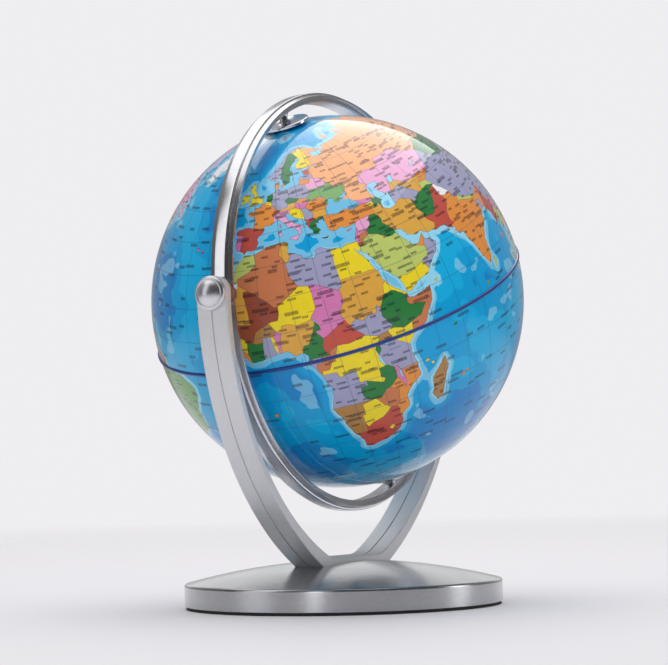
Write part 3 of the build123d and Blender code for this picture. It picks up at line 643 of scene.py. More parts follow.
LANDS = """
s 28 70 28 58 28 56 31 53.5 34 52 35.5 50.3 40 49.6 38.5 47 36.5 45 40 43.4 48.3 41.8 47 45 49 46.5 46.5
 48.5 48 50 51.5 51.5 60 51 61.5 54 71 54.2 77 54 80 51 87.8 49.2 98.2 52 102 51.3 107 50 116.7 49.8 120.5
 53.3 125.5 53 131 47.8 135 48.4 131 44.8 130.7 42.3 134 42 142 45 156 48 164 54 172 58 -168 64 -168 67
 180 72 140 78 100 82 70 78 40 72 30 70.5
v -14 20.7 -17.5 20.7 -18 28 -10 36.5 -1.8 36 -1.2 32.5 -3.5 30.5 -8.7 28.8 -8.7 26 -12 26 -12 23.4 -13 23
 -13 21.3
k -19 20.7 -17.2 21 -13 21.3 -13 23 -12 23.4 -12 26 -8.7 26 -8.7 27.7 -13.2 27.7 -18 27.7
t -2.2 37 -1.2 32.5 -3.5 30.5 -8.7 28.8 -8.7 27.3 -4.8 25 1.2 21.1 3.2 19 4.3 19.2 11.9 23.5 9.8 26.5 9.4
 30.2 9 32 7.6 33.8 8.2 36.5 8.6 38
o 8.6 38 8.2 36.5 7.6 33.8 9 32 10.2 30.8 11.5 33.2 12 38
l 12 34 11.5 33.2 10.2 30.8 9.4 30.2 9.8 26.5 11.9 23.5 15 23 15.9 23.4 24 19.5 24 20 25 20 25 34
y 25 34 25 22 37.5 22 35.5 28.5 34.2 31.3 34 33
o -18 16.3 -16.4 16.3 -12.2 14.8 -11.4 15.6 -5.5 15.5 -6.5 25 -4.8 25 -8.7 27.3 -8.7 26 -12 26 -12 23.4
 -13 23 -13 21.3 -17.2 21 -19 20
b -11.4 15.6 -5.5 15.5 -6.5 25 -4.8 25 1.2 21.1 3.2 19 4.3 19.2 4.2 16.8 3.5 15.4 0.3 15 -2 14.2 -4.3 13.2
 -5.3 11.4 -6 10.2 -8 10.2 -8.4 11.4 -11.4 12.3 -12.2 14.8
y 4.3 19.2 11.9 23.5 15 23 15.5 21 15.5 16.5 13.5 14.3 13.4 13.7 9 12.8 6 13.7 4 13.5 3.6 11.8 2.4 12 0.3
 15 3.5 15.4 4.2 16.8
m 15 23 15.9 23.4 24 19.5 24 15.7 22.5 14 22 12.7 22.8 11 19 9 15.5 7.5 14 9.8 15.5 10 15 12 14.2 12.8
 13.5 14.3 15.5 16.5 15.5 21
o 24 19.5 24 20 25 20 25 22 37.5 22 38.6 18 37 17 36.4 14.4 35 12.5 34 11 33 12.2 32.5 10 30 10.2 28 9.4
 26 10.4 24 8.8 22.8 11 22 12.7 22.5 14 24 15.7
l 24 8.8 26 10.4 28 9.4 30 10.2 32.5 10 33 12.2 34 11 33.8 8.5 35.8 5.3 34 4.2 31 3.7 27.4 5
y 36.4 14.4 37 17 38.6 18.5 43.3 12.6 42.4 12.4 39 14.6
g 35 12.5 36.4 14.4 39 14.6 42.4 12.4 42 11 43 9 47.9 8 45 5 42 4.2 39 3.5 36 4.5 35.8 5.3 33.8 8.5 34 11
t 44 12 43.2 11.5 43 9 47.9 8 45 5 42 4.2 41 -1 41.6 -1.8 42 -3 52 10 52 13
y 34 4.2 36 4.5 39 3.5 42 4.2 41 -1 41.6 -1.8 40 -5 39.2 -4.7 34 -1 34 0.5 35 2
w 31 3.7 34 4.2 35 2 34 0.5 34 -1 29.6 -1.4 29.8 0.5 31 2.3
l 34 -1 37.7 -3.5 39.2 -4.7 41 -5 41 -10.6 35 -11.5 34 -9.5 33 -9.4 30.8 -8.3 29.4 -5.5 30.8 -3 30.5 -1.1
g 29.6 -1.4 30.5 -1.1 30.8 -3 29.4 -4.4 29 -2.8
y 12.3 -6 16.5 -6 17 -8 20 -7 22 -7.2 22 -11 24 -11 26 -12 29 -13.4 29.8 -12.2 28.4 -11.5 28.6 -8.5 30.8
 -8.3 29.4 -5.5 29.4 -4.4 29 -2.8 29.6 -1.4 29.8 0.5 31 2.3 31 3.7 27.4 5 22.4 4.1 18.6 4.3 18 2.5 17.8
 -0.5 16 -3 14.8 -4.8 12.7 -4.7
t 11.5 -4.5 12.7 -4.7 14.8 -4.8 16 -3 17.8 -0.5 18 2.5 18.6 4.3 16.5 3.5 16 2.2 13.2 2.2 14 1.3 14.4 -1.5
 11.5 -2.5 11 -3.8
l 9 2.3 13.2 2.2 14 1.3 14.4 -1.5 11.5 -2.5 11 -4 8 -2
r 14.5 5 15.5 7.5 19 9 22.8 11 24 8.8 27.4 5 22.4 4.1 18.6 4.3 16.5 3.5 16 2.2
g 8.5 4.5 9 6.5 11 6.6 12 8.2 13.2 9.6 14.2 12.8 15 12 15.5 10 14 9.8 15.5 7.5 14.5 5 16 2.2 13.2 2.2 9.5
 2.2
o 2.7 6 2.7 7.8 3.6 11.8 4 13.5 6 13.7 9 12.8 13.4 13.7 14.2 12.8 13.2 9.6 12 8.2 11 6.6 9 6.5 8.5 4.5 5
 3.5
m 2.7 5.5 1.6 6.2 1.6 9 0.9 11 2.4 12 3.6 11.8 2.7 7.8
y 1.2 5.8 0.5 7 0 11 0.9 11 1.6 9 1.6 6
l -3 4 -3.2 5 -2.7 9.6 -2.8 11 0 11 0.5 7 1.2 5.8 -2 4
g -7.5 4 -8.4 7 -8 10.2 -6 10.2 -4.7 9.7 -2.7 9.6 -3.2 5 -3 4
w -6 10.2 -5.3 11.4 -4.3 13.2 -2 14.2 0.3 15 2.4 12 0.9 11 -2.8 11 -2.7 9.6 -4.7 9.7
n -11.6 6.9 -10.3 8.5 -8.4 7 -7.5 4 -10 4
r -13.5 9 -11 10 -10.3 8.5 -11.6 6.9 -14 7
y -15 11 -13.7 12.6 -11.4 12.3 -8.4 11.4 -8 10.2 -8.4 7 -10.3 8.5 -11 10 -13.5 9 -15 9.5
l -18 16.3 -16.4 16.3 -14.5 16.6 -12.2 14.8 -11.4 12.3 -13.7 12.6 -17 12.4 -18 12.5
g -17 12.4 -13.7 12.6 -15 11 -17 11
l 11.6 -17.3 14 -17.4 18.4 -17.4 23.4 -17.6 22 -16 22 -13 24 -12.9 24 -11 22 -11 22 -7.2 20 -7 17 -8 16.5
 -6 12.3 -6 10 -6 11 -18
g 22 -13 24 -12.9 24 -11 26 -12 29 -13.4 29.8 -12.2 28.4 -11.5 28.6 -8.5 30.8 -8.3 33 -9.4 33.3 -13 30.3
 -15.6 28.9 -15.8 27 -18 25.2 -17.8 23.4 -17.6 22 -16
m 33 -9.4 34 -9.5 35 -11.5 35.8 -14.8 35.2 -17 34.3 -14.6 33.3 -13
n 41 -10.6 35 -11.5 35.8 -14.8 35.2 -17 34.3 -14.6 33.3 -13 30.3 -15.6 32.9 -17 32.5 -21 31.3 -22.4 32
 -26.8 33.5 -27 36 -25 42 -15
t 25.2 -17.8 27 -18 28.9 -15.8 30.3 -15.6 32.9 -17 32.5 -21 31.3 -22.4 29.3 -22.2 27.5 -20.5
y 20 -25 20 -22 21 -22 21 -18.3 25.2 -17.8 27.5 -20.5 29.3 -22.2 26 -24.8 22.8 -25.5 20.7 -26.8
w 11 -17.3 14 -17.4 18.4 -17.4 23.4 -17.6 25.2 -17.8 21 -18.3 21 -22 20 -22 20 -28.5 16.5 -28.6 14 -28
r 15 -28.6 16.5 -28.6 20 -28.5 20 -25 20.7 -26.8 22.8 -25.5 26 -24.8 29.3 -22.2 31.3 -22.4 32 -26.8 34 -30
 25 -36 17 -36
y 27 -29.6 28.7 -28.6 29.4 -29.5 28 -30.6
v 34 28 34.9 29.4 37 31.4 39.2 32 42 31.2 44.7 29.2 46.5 29.1 48.5 28.4 50.8 24.8 51.6 24.1 55.2 22.7 55
 20 52 19 46 17.2 43.3 17.4 42.5 16.4 38 20
y 42 16.4 43.3 17.4 46 17.2 52 19 53 16.6 52 14 45 12 42 12.5
l 53 16.6 52 19 55 20 55.2 22.7 55.9 24.2 56.4 25 56 27 62 23 56 16
n 51.6 24.1 55.2 22.7 55.9 24.2 56.4 25 56.3 26.5 52 26
g 39 33.3 42.3 37.2 44.8 37.2 46 35 45.5 33.8 47.7 31 48.6 29.9 46.5 29.1 44.7 29.2 42 31.2 39.2 32
t 34.9 29.4 35.7 32.7 39 33.3 39.2 32 37 31.4 36 29.2
m 34.2 31.3 34.9 29.4 35.7 32.7 36.5 34.3 34.5 34.8
p 35.5 34.8 36.5 34.3 35.7 32.7 39 33.3 41 34.5 42.3 37.2 36.7 36.8 35.7 36
n 25.5 36 36 35.8 36.7 36.8 42.3 37.2 44.8 37.2 44.5 39.7 43.5 41.1 41.5 41.5 28.3 42 26.3 41.7 26 40
o 44.8 39.7 46 38.8 48 39.6 48.8 38.4 54 37.4 57 38.2 61 36.6 60.6 33 61.8 31 60.9 29.8 63.3 27.2 61.6 25
 56.5 25.5 54 25.5 48.6 29.9 47.7 31 45.5 33.8 46 35 44.8 37.2
g 61 36.6 62 35.3 65 37 66.5 37.4 68.5 37.5 71.5 38 74.9 37.2 71.5 36.3 69.5 34 66.3 29.8 60.9 29.8 61.8
 31 60.6 33
r 61.6 25 63.3 27.2 60.9 29.8 66.3 29.8 69.5 34 71.5 36.3 74 36.9 77 35.3 74 33 74.5 31 71 28 70 25.5 71
 24.5 68 23.5 66 24
n 68 23.5 71 24.5 70 25.5 71 28 74.5 31 74 33 76 32.4 79.3 32.8 79 31 81 30.2 80 28.8 88 26.5 89.8 26.8 92
 26.9 97 28 97.4 27 94.5 24.5 93.3 23 92.3 21 91.5 23 92 25 89.8 25.3 88.2 24.5 89 21.5 84 15 80.5 12 79.8
 9.3 77 7 70 15
v 80 28.8 81 30.2 86 28.1 88.1 27.9 88 26.5
g 88.8 27.2 91.5 28 92 26.9 89.8 26.8
l 88.2 24.5 89.8 25.3 92 25 91.5 23 92.4 20.8 89 21
p 47 46 49 46.5 46.5 48.5 48 50 51.5 51.5 60 51 61.5 54 71 54.2 77 54 80 51 87.8 49.2 85.5 47 83 45.5 80.3
 42.2 73.5 43 70.8 42.3 66 42 62 43.6 58.5 45.5 56 41.2 52.5 41.6 50 44
o 56 41.2 58.5 45.5 62 43.6 66 42 70.8 42.3 73 40.8 70 40.2 68.5 37.5 66.5 37.4 60 42.2
l 52.5 41.6 56 41.2 60 42.2 66.5 37.4 65 37 62 35.3 61 36.6 57 38.2 53.5 37
n 70.8 42.3 73.5 43 80.3 42.2 73.6 39.5 70 39.6 73 40.8
v 68.5 37.5 70 40.2 70 39.6 73.6 39.5 74.9 37.2 71.5 38
g 87.8 49.2 98.2 52 102 51.3 107 50 116.7 49.8 120 47 116 45.6 111.5 43.6 105 41.7 97 42.7 90.8 45.3
l 73.6 39.5 80.3 42.2 83 45.5 85.5 47 87.8 49.2 90.8 45.3 97 42.7 105 41.7 111.5 43.6 116 45.6 120 47
 116.7 49.8 120.5 53.3 125.5 53 131 47.8 135 48.4 131 44.8 130.7 42.3 126 41 124 39.8 120 38 125 30 117 20
 108 20.5 108 21.6 102 22.3 99 22 97.6 24.3 98.6 27.6 97.4 28.4 92 26.9 88.1 27.9 86 28.1 81 30.2 79 31
 79.3 32.8 77 35.3 74.9 37.2
k 74 33 73.8 34.4 74 36.9 77 35.3 79.3 32.8 76 32.4
g 124 39.8 126 41 130.7 42.3 128.5 38.5 126.5 37.7 124 38
y 126 37.7 128.5 38.5 130.5 36 126.5 33.5 125.5 36
r 92.3 21 94.5 24.5 97.4 28.4 98.6 27.6 97.6 24.3 99 22 100.1 20.3 98 18 99 12 98.3 9.8 96 10 93.5 16
v 98.3 9.8 99 12 98 18 100.1 20.3 101.3 17.5 104.7 17.5 105.5 14.5 102.5 13 102.5 11.5 101 5.8 98 7
m 100.1 20.3 102 22.3 104.8 20.5 104 18.3 107.5 14.4 105.5 14.5 104.7 17.5 101.3 17.5
n 102 22.3 108 21.6 110 15 110 10 104.5 8.4 106 11 107.5 12.3 107.5 14.4 104 18.3 104.8 20.5
p 102.5 13 105.5 14.5 107.5 14.4 107.5 12.3 106 11 104.4 10.4 102.8 11
y 99.8 6.5 102 6.2 104.5 1.2 103 0.8 100 4
o 94 6 104 1 109 1.8 110 1 115 1.5 118.5 4 127 3 135 0 141 -2 141 -9.5 120 -11 104 -9 94 2
y 109 1.9 115 7 117 7.5 119.5 5 118 4.2 115 1.5 112 1.2 110 1
l 4 58 4 62 12 68 18 71 31 71 31 69.5 28 70 26 69.9 24 68.7 20.5 69 18 68.5 15.5 66.3 14 64.5 12.2 63 12
 61 11.2 58.8 10.9 58.2 7 57
g 11.2 58.8 12 61 12.2 63 14 64.5 15.5 66.3 18 68.5 20.5 69 24 66 23 65.5 19 62 20 59 17 55 12.7 55.2
y 20.5 69 24 68.7 26 69.9 28 70 29 69.5 30 67.5 30 63 31.5 62.5 28 60.4 24 59.6 20 60 21 63 24 66
n 7.8 54.9 9.5 54.8 12.8 54.8 13 56.2 10.7 58 7.5 57
l 6.2 49.4 8 49 7.6 47.6 13 47.6 13.5 48.7 12.2 50.2 14.7 51 14.3 54.3 11 55 8.5 54.9 7 54 7 52.2 6 51
l 14.3 54.3 14.7 51 18.8 49.5 22.5 49.1 24 50.5 23.6 52.5 23.3 54.1 19.5 54.5 18 55.2
n -5 49 2 51.4 2.7 50.8 6.2 49.4 8 49 7.6 47.6 6.1 46.3 7 45.9 6.8 44.2 7.6 43.7 6 42.5 3.2 42.4 0 42.8
 -1.8 43.4 -3 47
y 2.7 50.8 3.5 51.4 6 51 6.2 49.4
g 3.5 51.4 4.5 53.3 7.1 53.6 7 52.2 6 51
r -10 44.5 -10 42 -8.6 41.9 -6.3 41.5 -7 38.5 -7.4 37 -6 35.9 1 37 4 42.4 3.2 42.4 0 42.8 -1.8 43.4 -3
 44.3
m -10 42 -8.6 41.9 -6.3 41.5 -7 38.5 -7.4 37 -10 36.7
p 6.8 44.2 7 45.9 10.5 46.8 13.7 46.5 13.7 45.6 12.8 45 20 40 16 37.5 12 36 8 38.8 8 41.5 10 42.5 7.6 43.7
b 6.1 46.3 7.6 47.6 9.6 47.4 10.5 46.8 7 45.9
o 9.6 47.4 13 47.6 13.5 48.7 17 48.6 16.2 46.8 13.7 46.5 10.5 46.8
g 12.2 50.2 14.7 51 18.8 49.5 17 48.6 13.5 48.7
n 17 48.6 18.8 49.5 22.5 49.1 22 48.2 18 47.8
m 16.2 46.8 17 48.6 18 47.8 22 48.2 22.5 47.8 20.5 46.1 19 45.9
y 13.7 45.6 13.7 46.5 16.2 46.8 19 45.9 19.2 43 18.5 42.4 15 43.5
l 19 45.9 20.5 46.1 22.7 44.2 22.4 42.3 20.5 41.9 19.2 43
r 19.2 42.4 20.5 41.9 22.4 42.3 23 41.4 20.8 40.8 20 39.6 19 40
g 20 39.6 20.8 40.8 23 41.4 26.3 41.7 26.4 40.5 26 38 27 34.5 22 34.5 20 38
o 22.4 42.3 22.7 44.2 28.6 43.8 28.3 42 26.3 41.7 23 41.4
n 20.5 46.1 22.5 47.8 26.6 48.3 28.2 46 28.5 45.3 30 45 28.6 43.8 22.7 44.2
n 26.6 48.3 28.2 46 30 46.5 29 48
G 22 48.2 22.5 49.1 24 50.5 23.8 51.8 30.5 51.5 34 52 35.5 50.3 40 49.6 38.5 47 35 44 30 45.2 30 46.5 29
 48 26.6 48.3 22.5 47.8
p 23.8 51.8 23.3 54.1 25.5 54.2 26.6 55.7 31 55 32.5 53.3 31.5 51.8 30.5 51.5
n 20.8 55.5 21 56.4 26.6 55.7 25.5 54.2 23.3 54.1 21 54.5
l 20.8 56.4 22 58 24.4 57.9 27.5 57.5 28.2 56.2 26.6 55.7
r 22 58 22 59.5 28 59.6 27.5 57.5 24.4 57.9
m 40 43.5 46.5 41.8 46.5 41.2 43.5 41.1 41.5 41.5
y 43.5 41.1 46.5 41.2 46 38.8 44.8 39.7
g 46.5 41.2 46.5 41.8 48.6 41.8 50.5 40.3 48.8 38.4 48 39.6 46 38.8
o -124.8 48.4 -123 49 -95 49 -89 48 -83 46 -82.5 42.5 -79 43.3 -75 45 -71 45.2 -69 47.4 -67 45 -64 42 -80
 24 -97 25.9 -99.5 27.5 -101.5 29.8 -103 29 -106.5 31.8 -111 31.3 -114.8 32.5 -117.2 32.5 -126 36
o -141 72 -141 60.3 -137.5 58.9 -130 55.5 -133 53 -170 50 -170 72
g -117.2 32.5 -114.8 32.5 -111 31.3 -106.5 31.8 -103 29 -101.5 29.8 -99.5 27.5 -97 25.9 -95 23 -86 22 -88
 18.5 -89.2 17.9 -91 17.9 -92.2 14.5 -105 14 -118 28
r -92.2 14.5 -91 17.9 -89.2 17.9 -88.5 15.8 -90 13.5
n -88.5 15.8 -83 15.3 -84 14.8 -87.5 12.9 -90 13.5
y -87.5 12.9 -84 14.8 -82.8 15 -83.5 10.9 -86 11
m -86 11 -83.5 10.9 -77.2 9 -77.5 7.2 -84 8
r -72 12.9 -73 9.2 -72 7 -67.5 6.2 -67 1.2 -69.5 1 -70 -4.3 -72.5 -2.4 -75.3 -0.1 -79 1.6 -79 8 -77.4 8.6
 -76 12
y -72 12.9 -73 9.2 -72 7 -67.5 6.2 -67 1.2 -63.4 2 -64.2 4 -60.8 5.2 -60 8.4 -62 11.5
n -60 8.8 -61.3 6 -60.8 5.2 -59.8 2 -56.5 2 -57.3 4 -57.3 6.5
m -57.3 6.5 -57.3 4 -56.5 2 -54 2.3 -54.3 6.5
w -54.3 6.5 -54 2.3 -52 2.3 -51 4.6
g -80 1.8 -75.3 -0.1 -78.5 -4.5 -80.4 -4.5 -82 -2
o -80.4 -4.5 -78.5 -4.5 -75.3 -0.1 -72.5 -2.4 -70 -4.3 -73.7 -7.3 -73 -9.4 -70.5 -9.4 -69 -12.5 -69 -17.5
 -70.4 -18.4 -77 -17 -82 -6
l -70.5 -10.9 -68 -11 -65.3 -10 -60 -13.7 -60 -16 -58 -17.5 -58 -20 -62.5 -22.3 -67.8 -22.8 -69 -17.5 -69
 -12.5
n -62.5 -22.3 -59 -19.4 -58 -20 -54.3 -24 -54.6 -25.6 -58.6 -27.3
m -57.6 -30.2 -53.3 -34 -55 -35.5 -58.5 -34
p -67.8 -22.8 -62.5 -22.3 -58.6 -27.3 -54.6 -25.6 -53.8 -27.2 -57.6 -30.2 -58.5 -34 -55 -38 -63 -55 -68.5
 -55.3 -68.5 -52.2 -72 -51 -71.5 -45 -71.8 -39 -70 -33 -69 -27
y -70.5 -17.8 -69 -17.5 -67.8 -22.8 -69 -27 -70 -33 -71.8 -39 -71.5 -45 -72 -51 -68.5 -52.2 -68.5 -55.3
 -66.5 -56 -77 -52 -74 -30
"""


# ---- laying out the map -----------------------------------------------------------------------------
LAT_GAP = 0.42                                             # half the joint between the halves, degrees
ROUND_STEPS = 240                                          # steps in a turn of the ring, rib and rim
COAST_SEED = 7                                             # keeps the coasts the same from run to run
INNER_RINGS = 13                                           # rings of the inner wall, from the rim to the pole
# each kind of outline, how far its line wanders and how long its runs are, both in degrees
LINES = (("coast", 0.9, 0.8), ("isle", 0.9, 0.8), ("water", 0.6, 0.8), ("land", 0.45, 1.2))


def outlines(text):
    """Split outlines written one after another, each starting its own line, into (ink, points)."""
    found = []
    for row in text.strip("\n").replace("\n ", " ").splitlines():
        words = row.split()
        ink = words.pop(0) if words[0] in INKS or words[0] == "." else None
        found.append((ink, np.array(words, float).reshape(-1, 2)))
    return found


def island_outlines():
    """A small six-sided outline round every island spot."""
    found = []
    for ink, spots in outlines(ISLANDS):
        for lon, lat in spots:
            ring = [(lon + 0.75 * math.cos(a) / math.cos(math.radians(lat)), lat + 0.5 * math.sin(a))
                    for a in np.linspace(0, 2 * math.pi, 7)[:-1]]
            found.append((ink, np.array(ring)))
    return found


def wander(lon, lat, reach):
    """Shift a map point by smooth noise of its own place, so lines look drawn after nature."""
    level, height = math.cos(math.radians(lat)), math.sin(math.radians(lat))
    spot = Vector((level * math.cos(math.radians(lon)), level * math.sin(math.radians(lon)), height))
    shift = Vector()
    for strength, scale in ((0.55, 18), (0.35, 45), (0.2, 95)):
        shift += strength * noise.noise_vector(spot * scale)
    lat += reach * shift.x
    lon += reach * shift.y / max(0.2, math.cos(math.radians(lat)))
    squeeze = 1.47 * (1 - abs(lat) / 90)                   # the print sits this much nearer the equator
    return lon, lat - math.copysign(min(squeeze, abs(lat) * 0.6), lat)


def subdivided(points, reach, step):
    """A closed outline cut into short runs that wander."""
    line = []
    for (lon, lat), (lon_b, lat_b) in zip(points, np.roll(points, -1, axis=0)):
        across = (lon_b - lon + 180) % 360 - 180
        span = math.hypot(across * math.cos(math.radians((lat + lat_b) / 2)), lat_b - lat)
        count = max(1, math.ceil(span / step))
        line += [wander(lon + across * i / count, lat + (lat_b - lat) * i / count, reach)
                 for i in range(count)]
    return np.array(line)


def flatten(points, pole):
    """Lay points out flat round a pole, at their distance from it in degrees."""
    reach = 90 - pole * points[:, 1]
    angle = np.radians(points[:, 0])
    return np.stack([reach * np.cos(angle), pole * reach * np.sin(angle)], 1)


def inside(points, outline):
    """Which points lie inside a closed outline."""
    result = np.zeros(len(points), bool)
    low, high = outline.min(0), outline.max(0)
    near = np.flatnonzero(((points >= low) & (points <= high)).all(1))
    if not len(near):
        return result
    px, py = points[near, 0][:, None], points[near, 1][:, None]
    ax, ay = outline.T
    bx, by = np.roll(outline, -1, axis=0).T
    crosses = (ay > py) != (by > py)
    with np.errstate(divide="ignore", invalid="ignore"):
        at = ax + (py - ay) * (bx - ax) / (by - ay)
    result[near] = (crosses & (px < at)).sum(1) % 2 == 1
    return result


def map_lines(pole):
    """Every outline that reaches into this half, as (kind, ink, flat points)."""
    rows = {"coast": outlines(COASTS), "isle": island_outlines(), "water": outlines(WATERS),
            "land": outlines(LANDS)}
    found = []
    for kind, reach, step in LINES:
        for ink, points in rows[kind]:
            line = subdivided(points, reach, step)
            if (pole * line[:, 1]).max() > 0:
                found.append((kind, ink, flatten(line, pole)))
    return found


def triangulate(lines):
    """Fill one half of the map with triangles whose edges follow its lines."""
    rim = 90 - LAT_GAP
    points = [(rim * math.cos(a), rim * math.sin(a))
              for a in np.linspace(0, 2 * math.pi, ROUND_STEPS + 1)[:-1]]
    edges = [(i, (i + 1) % ROUND_STEPS) for i in range(ROUND_STEPS)]
    for line in lines:
        edges += [(len(points) + i, len(points) + (i + 1) % len(line)) for i in range(len(line))]
        points += [*line]
    for distance in np.arange(2, rim - 1, 2.0):
        count = max(6, round(180 * math.sin(math.radians(distance))))
        points += [(distance * math.cos(a), distance * math.sin(a))
                   for a in (np.arange(count) + distance % 4 / 4) * 2 * math.pi / count]
    flat, _, faces, *_ = geometry.delaunay_2d_cdt([Vector(p) for p in points], edges, [], 0, 1e-5, False)
    flat, faces = np.array(flat)[:, :2], np.array(faces)
    return flat, faces[np.hypot(*flat[faces].mean(1).T) < rim - 1e-3]


def lay_out(pole):
    """One half of the map: flat points, triangles, each one's area number, the areas' inks, the coast."""
    found = map_lines(pole)
    flat, faces = triangulate([line for _, _, line in found])
    middle = flat[faces].mean(1)
    land, water = np.zeros((2, len(faces)), bool)
    area, inks, coast = np.zeros(len(faces), int), [None], []
    for kind, ink, line in found:
        hit = inside(middle, line)
        if kind in ("coast", "water"):
            coast.append(line)
        if kind == "water":
            water |= hit
            continue
        if kind != "land":
            land |= hit
        if ink != ".":
            inks.append(ink)
            area[hit] = len(inks) - 1
    dry = land & ~water
    area = spread(area, faces, dry)
    area[~dry] = 0
    return flat, faces, area, inks, np.concatenate(coast)


def neighbours(faces):
    """Pairs of triangles that share an edge, as (triangle, corner opposite) rows."""
    corner = np.tile(np.arange(3), len(faces))
    owner = np.repeat(np.arange(len(faces)), 3)
    ends = np.sort(np.stack([np.roll(faces, -1, 1), np.roll(faces, -2, 1)], 2).reshape(-1, 2), 1)
    order = np.lexsort(ends.T)
    same = (ends[order][1:] == ends[order][:-1]).all(1)
    first, second = order[:-1][same], order[1:][same]
    return owner[first], corner[first], owner[second], corner[second]


def spread(area, faces, dry):
    """Give dry triangles that no country covers the number of a neighbour."""
    one, _, two, _ = neighbours(faces)
    for _ in range(60):                                    # enough for the widest strip left over
        for a, b in ((one, two), (two, one)):
            fill = (area[a] == 0) & dry[a] & (area[b] > 0) & dry[b]
            area[a[fill]] = area[b[fill]]
    return area


def on_ball(flat, pole):
    """Flat map points laid on a ball of radius 1 about Z."""
    reach = np.radians(np.hypot(*flat.T))
    angle = np.arctan2(pole * flat[:, 1], flat[:, 0]) + sizes().prime_turn
    return np.stack([np.sin(reach) * np.cos(angle), np.sin(reach) * np.sin(angle), pole * np.cos(reach)], 1)


def shore_distance(shell, coast):
    """How far each point is from the nearest coast, about in degrees."""
    tree = kdtree.KDTree(len(coast))
    for i, spot in enumerate(coast):
        tree.insert(spot, i)
    tree.balance()
    return [math.degrees(tree.find(spot)[2]) for spot in shell]


def border_gaps(spots, faces, area):
    """For each corner of each triangle, its distance from the three edges, where they part two areas."""
    one, one_corner, two, two_corner = neighbours(faces)
    split = area[one] != area[two]
    gaps = np.ones((len(faces), 3, 3))
    for triangle, corner in ((one[split], one_corner[split]), (two[split], two_corner[split])):
        tip = spots[triangle, corner]
        a, b = spots[triangle, (corner + 1) % 3], spots[triangle, (corner + 2) % 3]
        along = (b - a) / np.maximum(np.linalg.norm(b - a, axis=1, keepdims=True), 1e-9)
        gaps[triangle, :, corner] = 0
        gaps[triangle, corner, corner] = np.linalg.norm(np.cross(tip - a, along), axis=1)
    return gaps


def map_half(name, pole):
    """One printed half of the ball: the map outside, a wall, and a plain inner face."""
    flat, faces, area, inks, coast = lay_out(pole)
    used, faces = np.unique(faces, return_inverse=True)
    faces = faces.reshape(-1, 3)
    shell = on_ball(flat[used], pole)
    mesh = bpy.data.meshes.new(name)
    mesh.from_pydata(shell * sizes().globe_radius, [], faces.tolist())
    obj = bpy.data.objects.new(name, mesh)
    bpy.context.scene.collection.objects.link(obj)

    palette = np.array([(0, 0, 0, 0)] + [(*light(*INKS[ink]), 1) for ink in inks[1:]])
    for title, kind, domain, key, values in (
            ("shore", "FLOAT", "POINT", "value", shore_distance(shell, on_ball(coast, pole))),
            ("edge", "FLOAT_VECTOR", "CORNER", "vector",
             border_gaps(shell[faces] * sizes().globe_radius, faces, area).ravel()),
            ("ink", "FLOAT_COLOR", "CORNER", "color", np.repeat(palette[area], 3, axis=0).ravel())):
        mesh.attributes.new(title, kind, domain).data.foreach_set(key, values)
    close_shell(obj, pole)
    set_down(obj, polar_place())
    return obj


def close_shell(obj, pole):
    """Turn the open edge inwards and close it with a smooth inner wall, ring by ring to the pole."""
    pick(obj)
    bpy.ops.object.mode_set(mode="EDIT")
    bpy.ops.mesh.select_mode(type="EDGE")
    bpy.ops.mesh.select_all(action="DESELECT")
    bpy.ops.mesh.select_non_manifold(extend=False, use_wire=False, use_multi_face=False,
                                     use_non_contiguous=False, use_verts=False)
    radius, inner = sizes().globe_radius, sizes().globe_radius - sizes().wall
    low = math.radians(LAT_GAP)
    spot = (radius * math.cos(low), radius * math.sin(low))
    for step in range(INNER_RINGS):
        angle = low + (math.pi / 2 - low) * step / (INNER_RINGS - 0.5)
        after = (inner * math.cos(angle), inner * math.sin(angle) if step else spot[1])
        ratio = after[0] / spot[0]
        rise = (0, 0, pole * (after[1] - spot[1]))
        bpy.ops.mesh.extrude_region_move(TRANSFORM_OT_translate={"value": rise})
        bpy.ops.transform.resize(value=(ratio, ratio, 1), center_override=(0, 0, 0))
        spot = after
    bpy.ops.mesh.merge(type="CENTER")
    bpy.ops.object.mode_set(mode="OBJECT")


# ---- pieces -----------------------------------------------------------------------------------------
def dome_outline(wall):
    """Side, eased rim and dome of the base as (radius, height), from the lower edge up to the middle."""
    s = sizes()
    rise = s.base_top - s.base_edge
    dome_radius = (s.base_radius ** 2 + rise ** 2) / (2 * rise)
    out, rim = s.base_radius - wall, 1.0 * MM

    def dome(radius):
        return s.base_top - dome_radius + math.sqrt(dome_radius ** 2 - radius ** 2) - wall

    shoulder = dome(out - rim)
    side = [(out, s.base_low)]
    side += [(out - inward * rim, shoulder - down * rim) for inward, down in (
        (0, 1.15), (0.04, 0.85), (0.13, 0.6), (0.28, 0.38), (0.5, 0.18), (0.75, 0.05))]
    return side + [((out - rim) * k / 12, dome((out - rim) * k / 12)) for k in range(12, -1, -1)]


class GLOBE_OT_base(Operator):
    """Turn the domed cover of the base, with its wall"""
    bl_idname = "globe.base"
    bl_label = "Base"

    def execute(self, context):
        outline = dome_outline(0) + dome_outline(sizes().wall)[::-1]
        obj = turn_outline("base_dome", outline, 160)
        ease(obj, 0.1 * MM)
        paint = silver_paint("base_silver", tuple(c * 0.76 for c in hues().silver), 0.97, 0.16)
        dress(obj, "stand", "silver_paint", paint, "base_cover")
        return {"FINISHED"}


OUTER_ARC, OUTER_R = (-34.4, 121.2), 120.6                 # arcs of the right arm in the XZ plane, mm
INNER_ARC, INNER_R = (-25.2, 117.7), 107.8
FOOT_TOP, FOOT_ROUND, FOOT_LOW = 18.8, 14.0, 13.0          # foot's top, its rounded corner and its underside
SEAM = 0.3 * MM                                            # depth and half width of the seam's groove


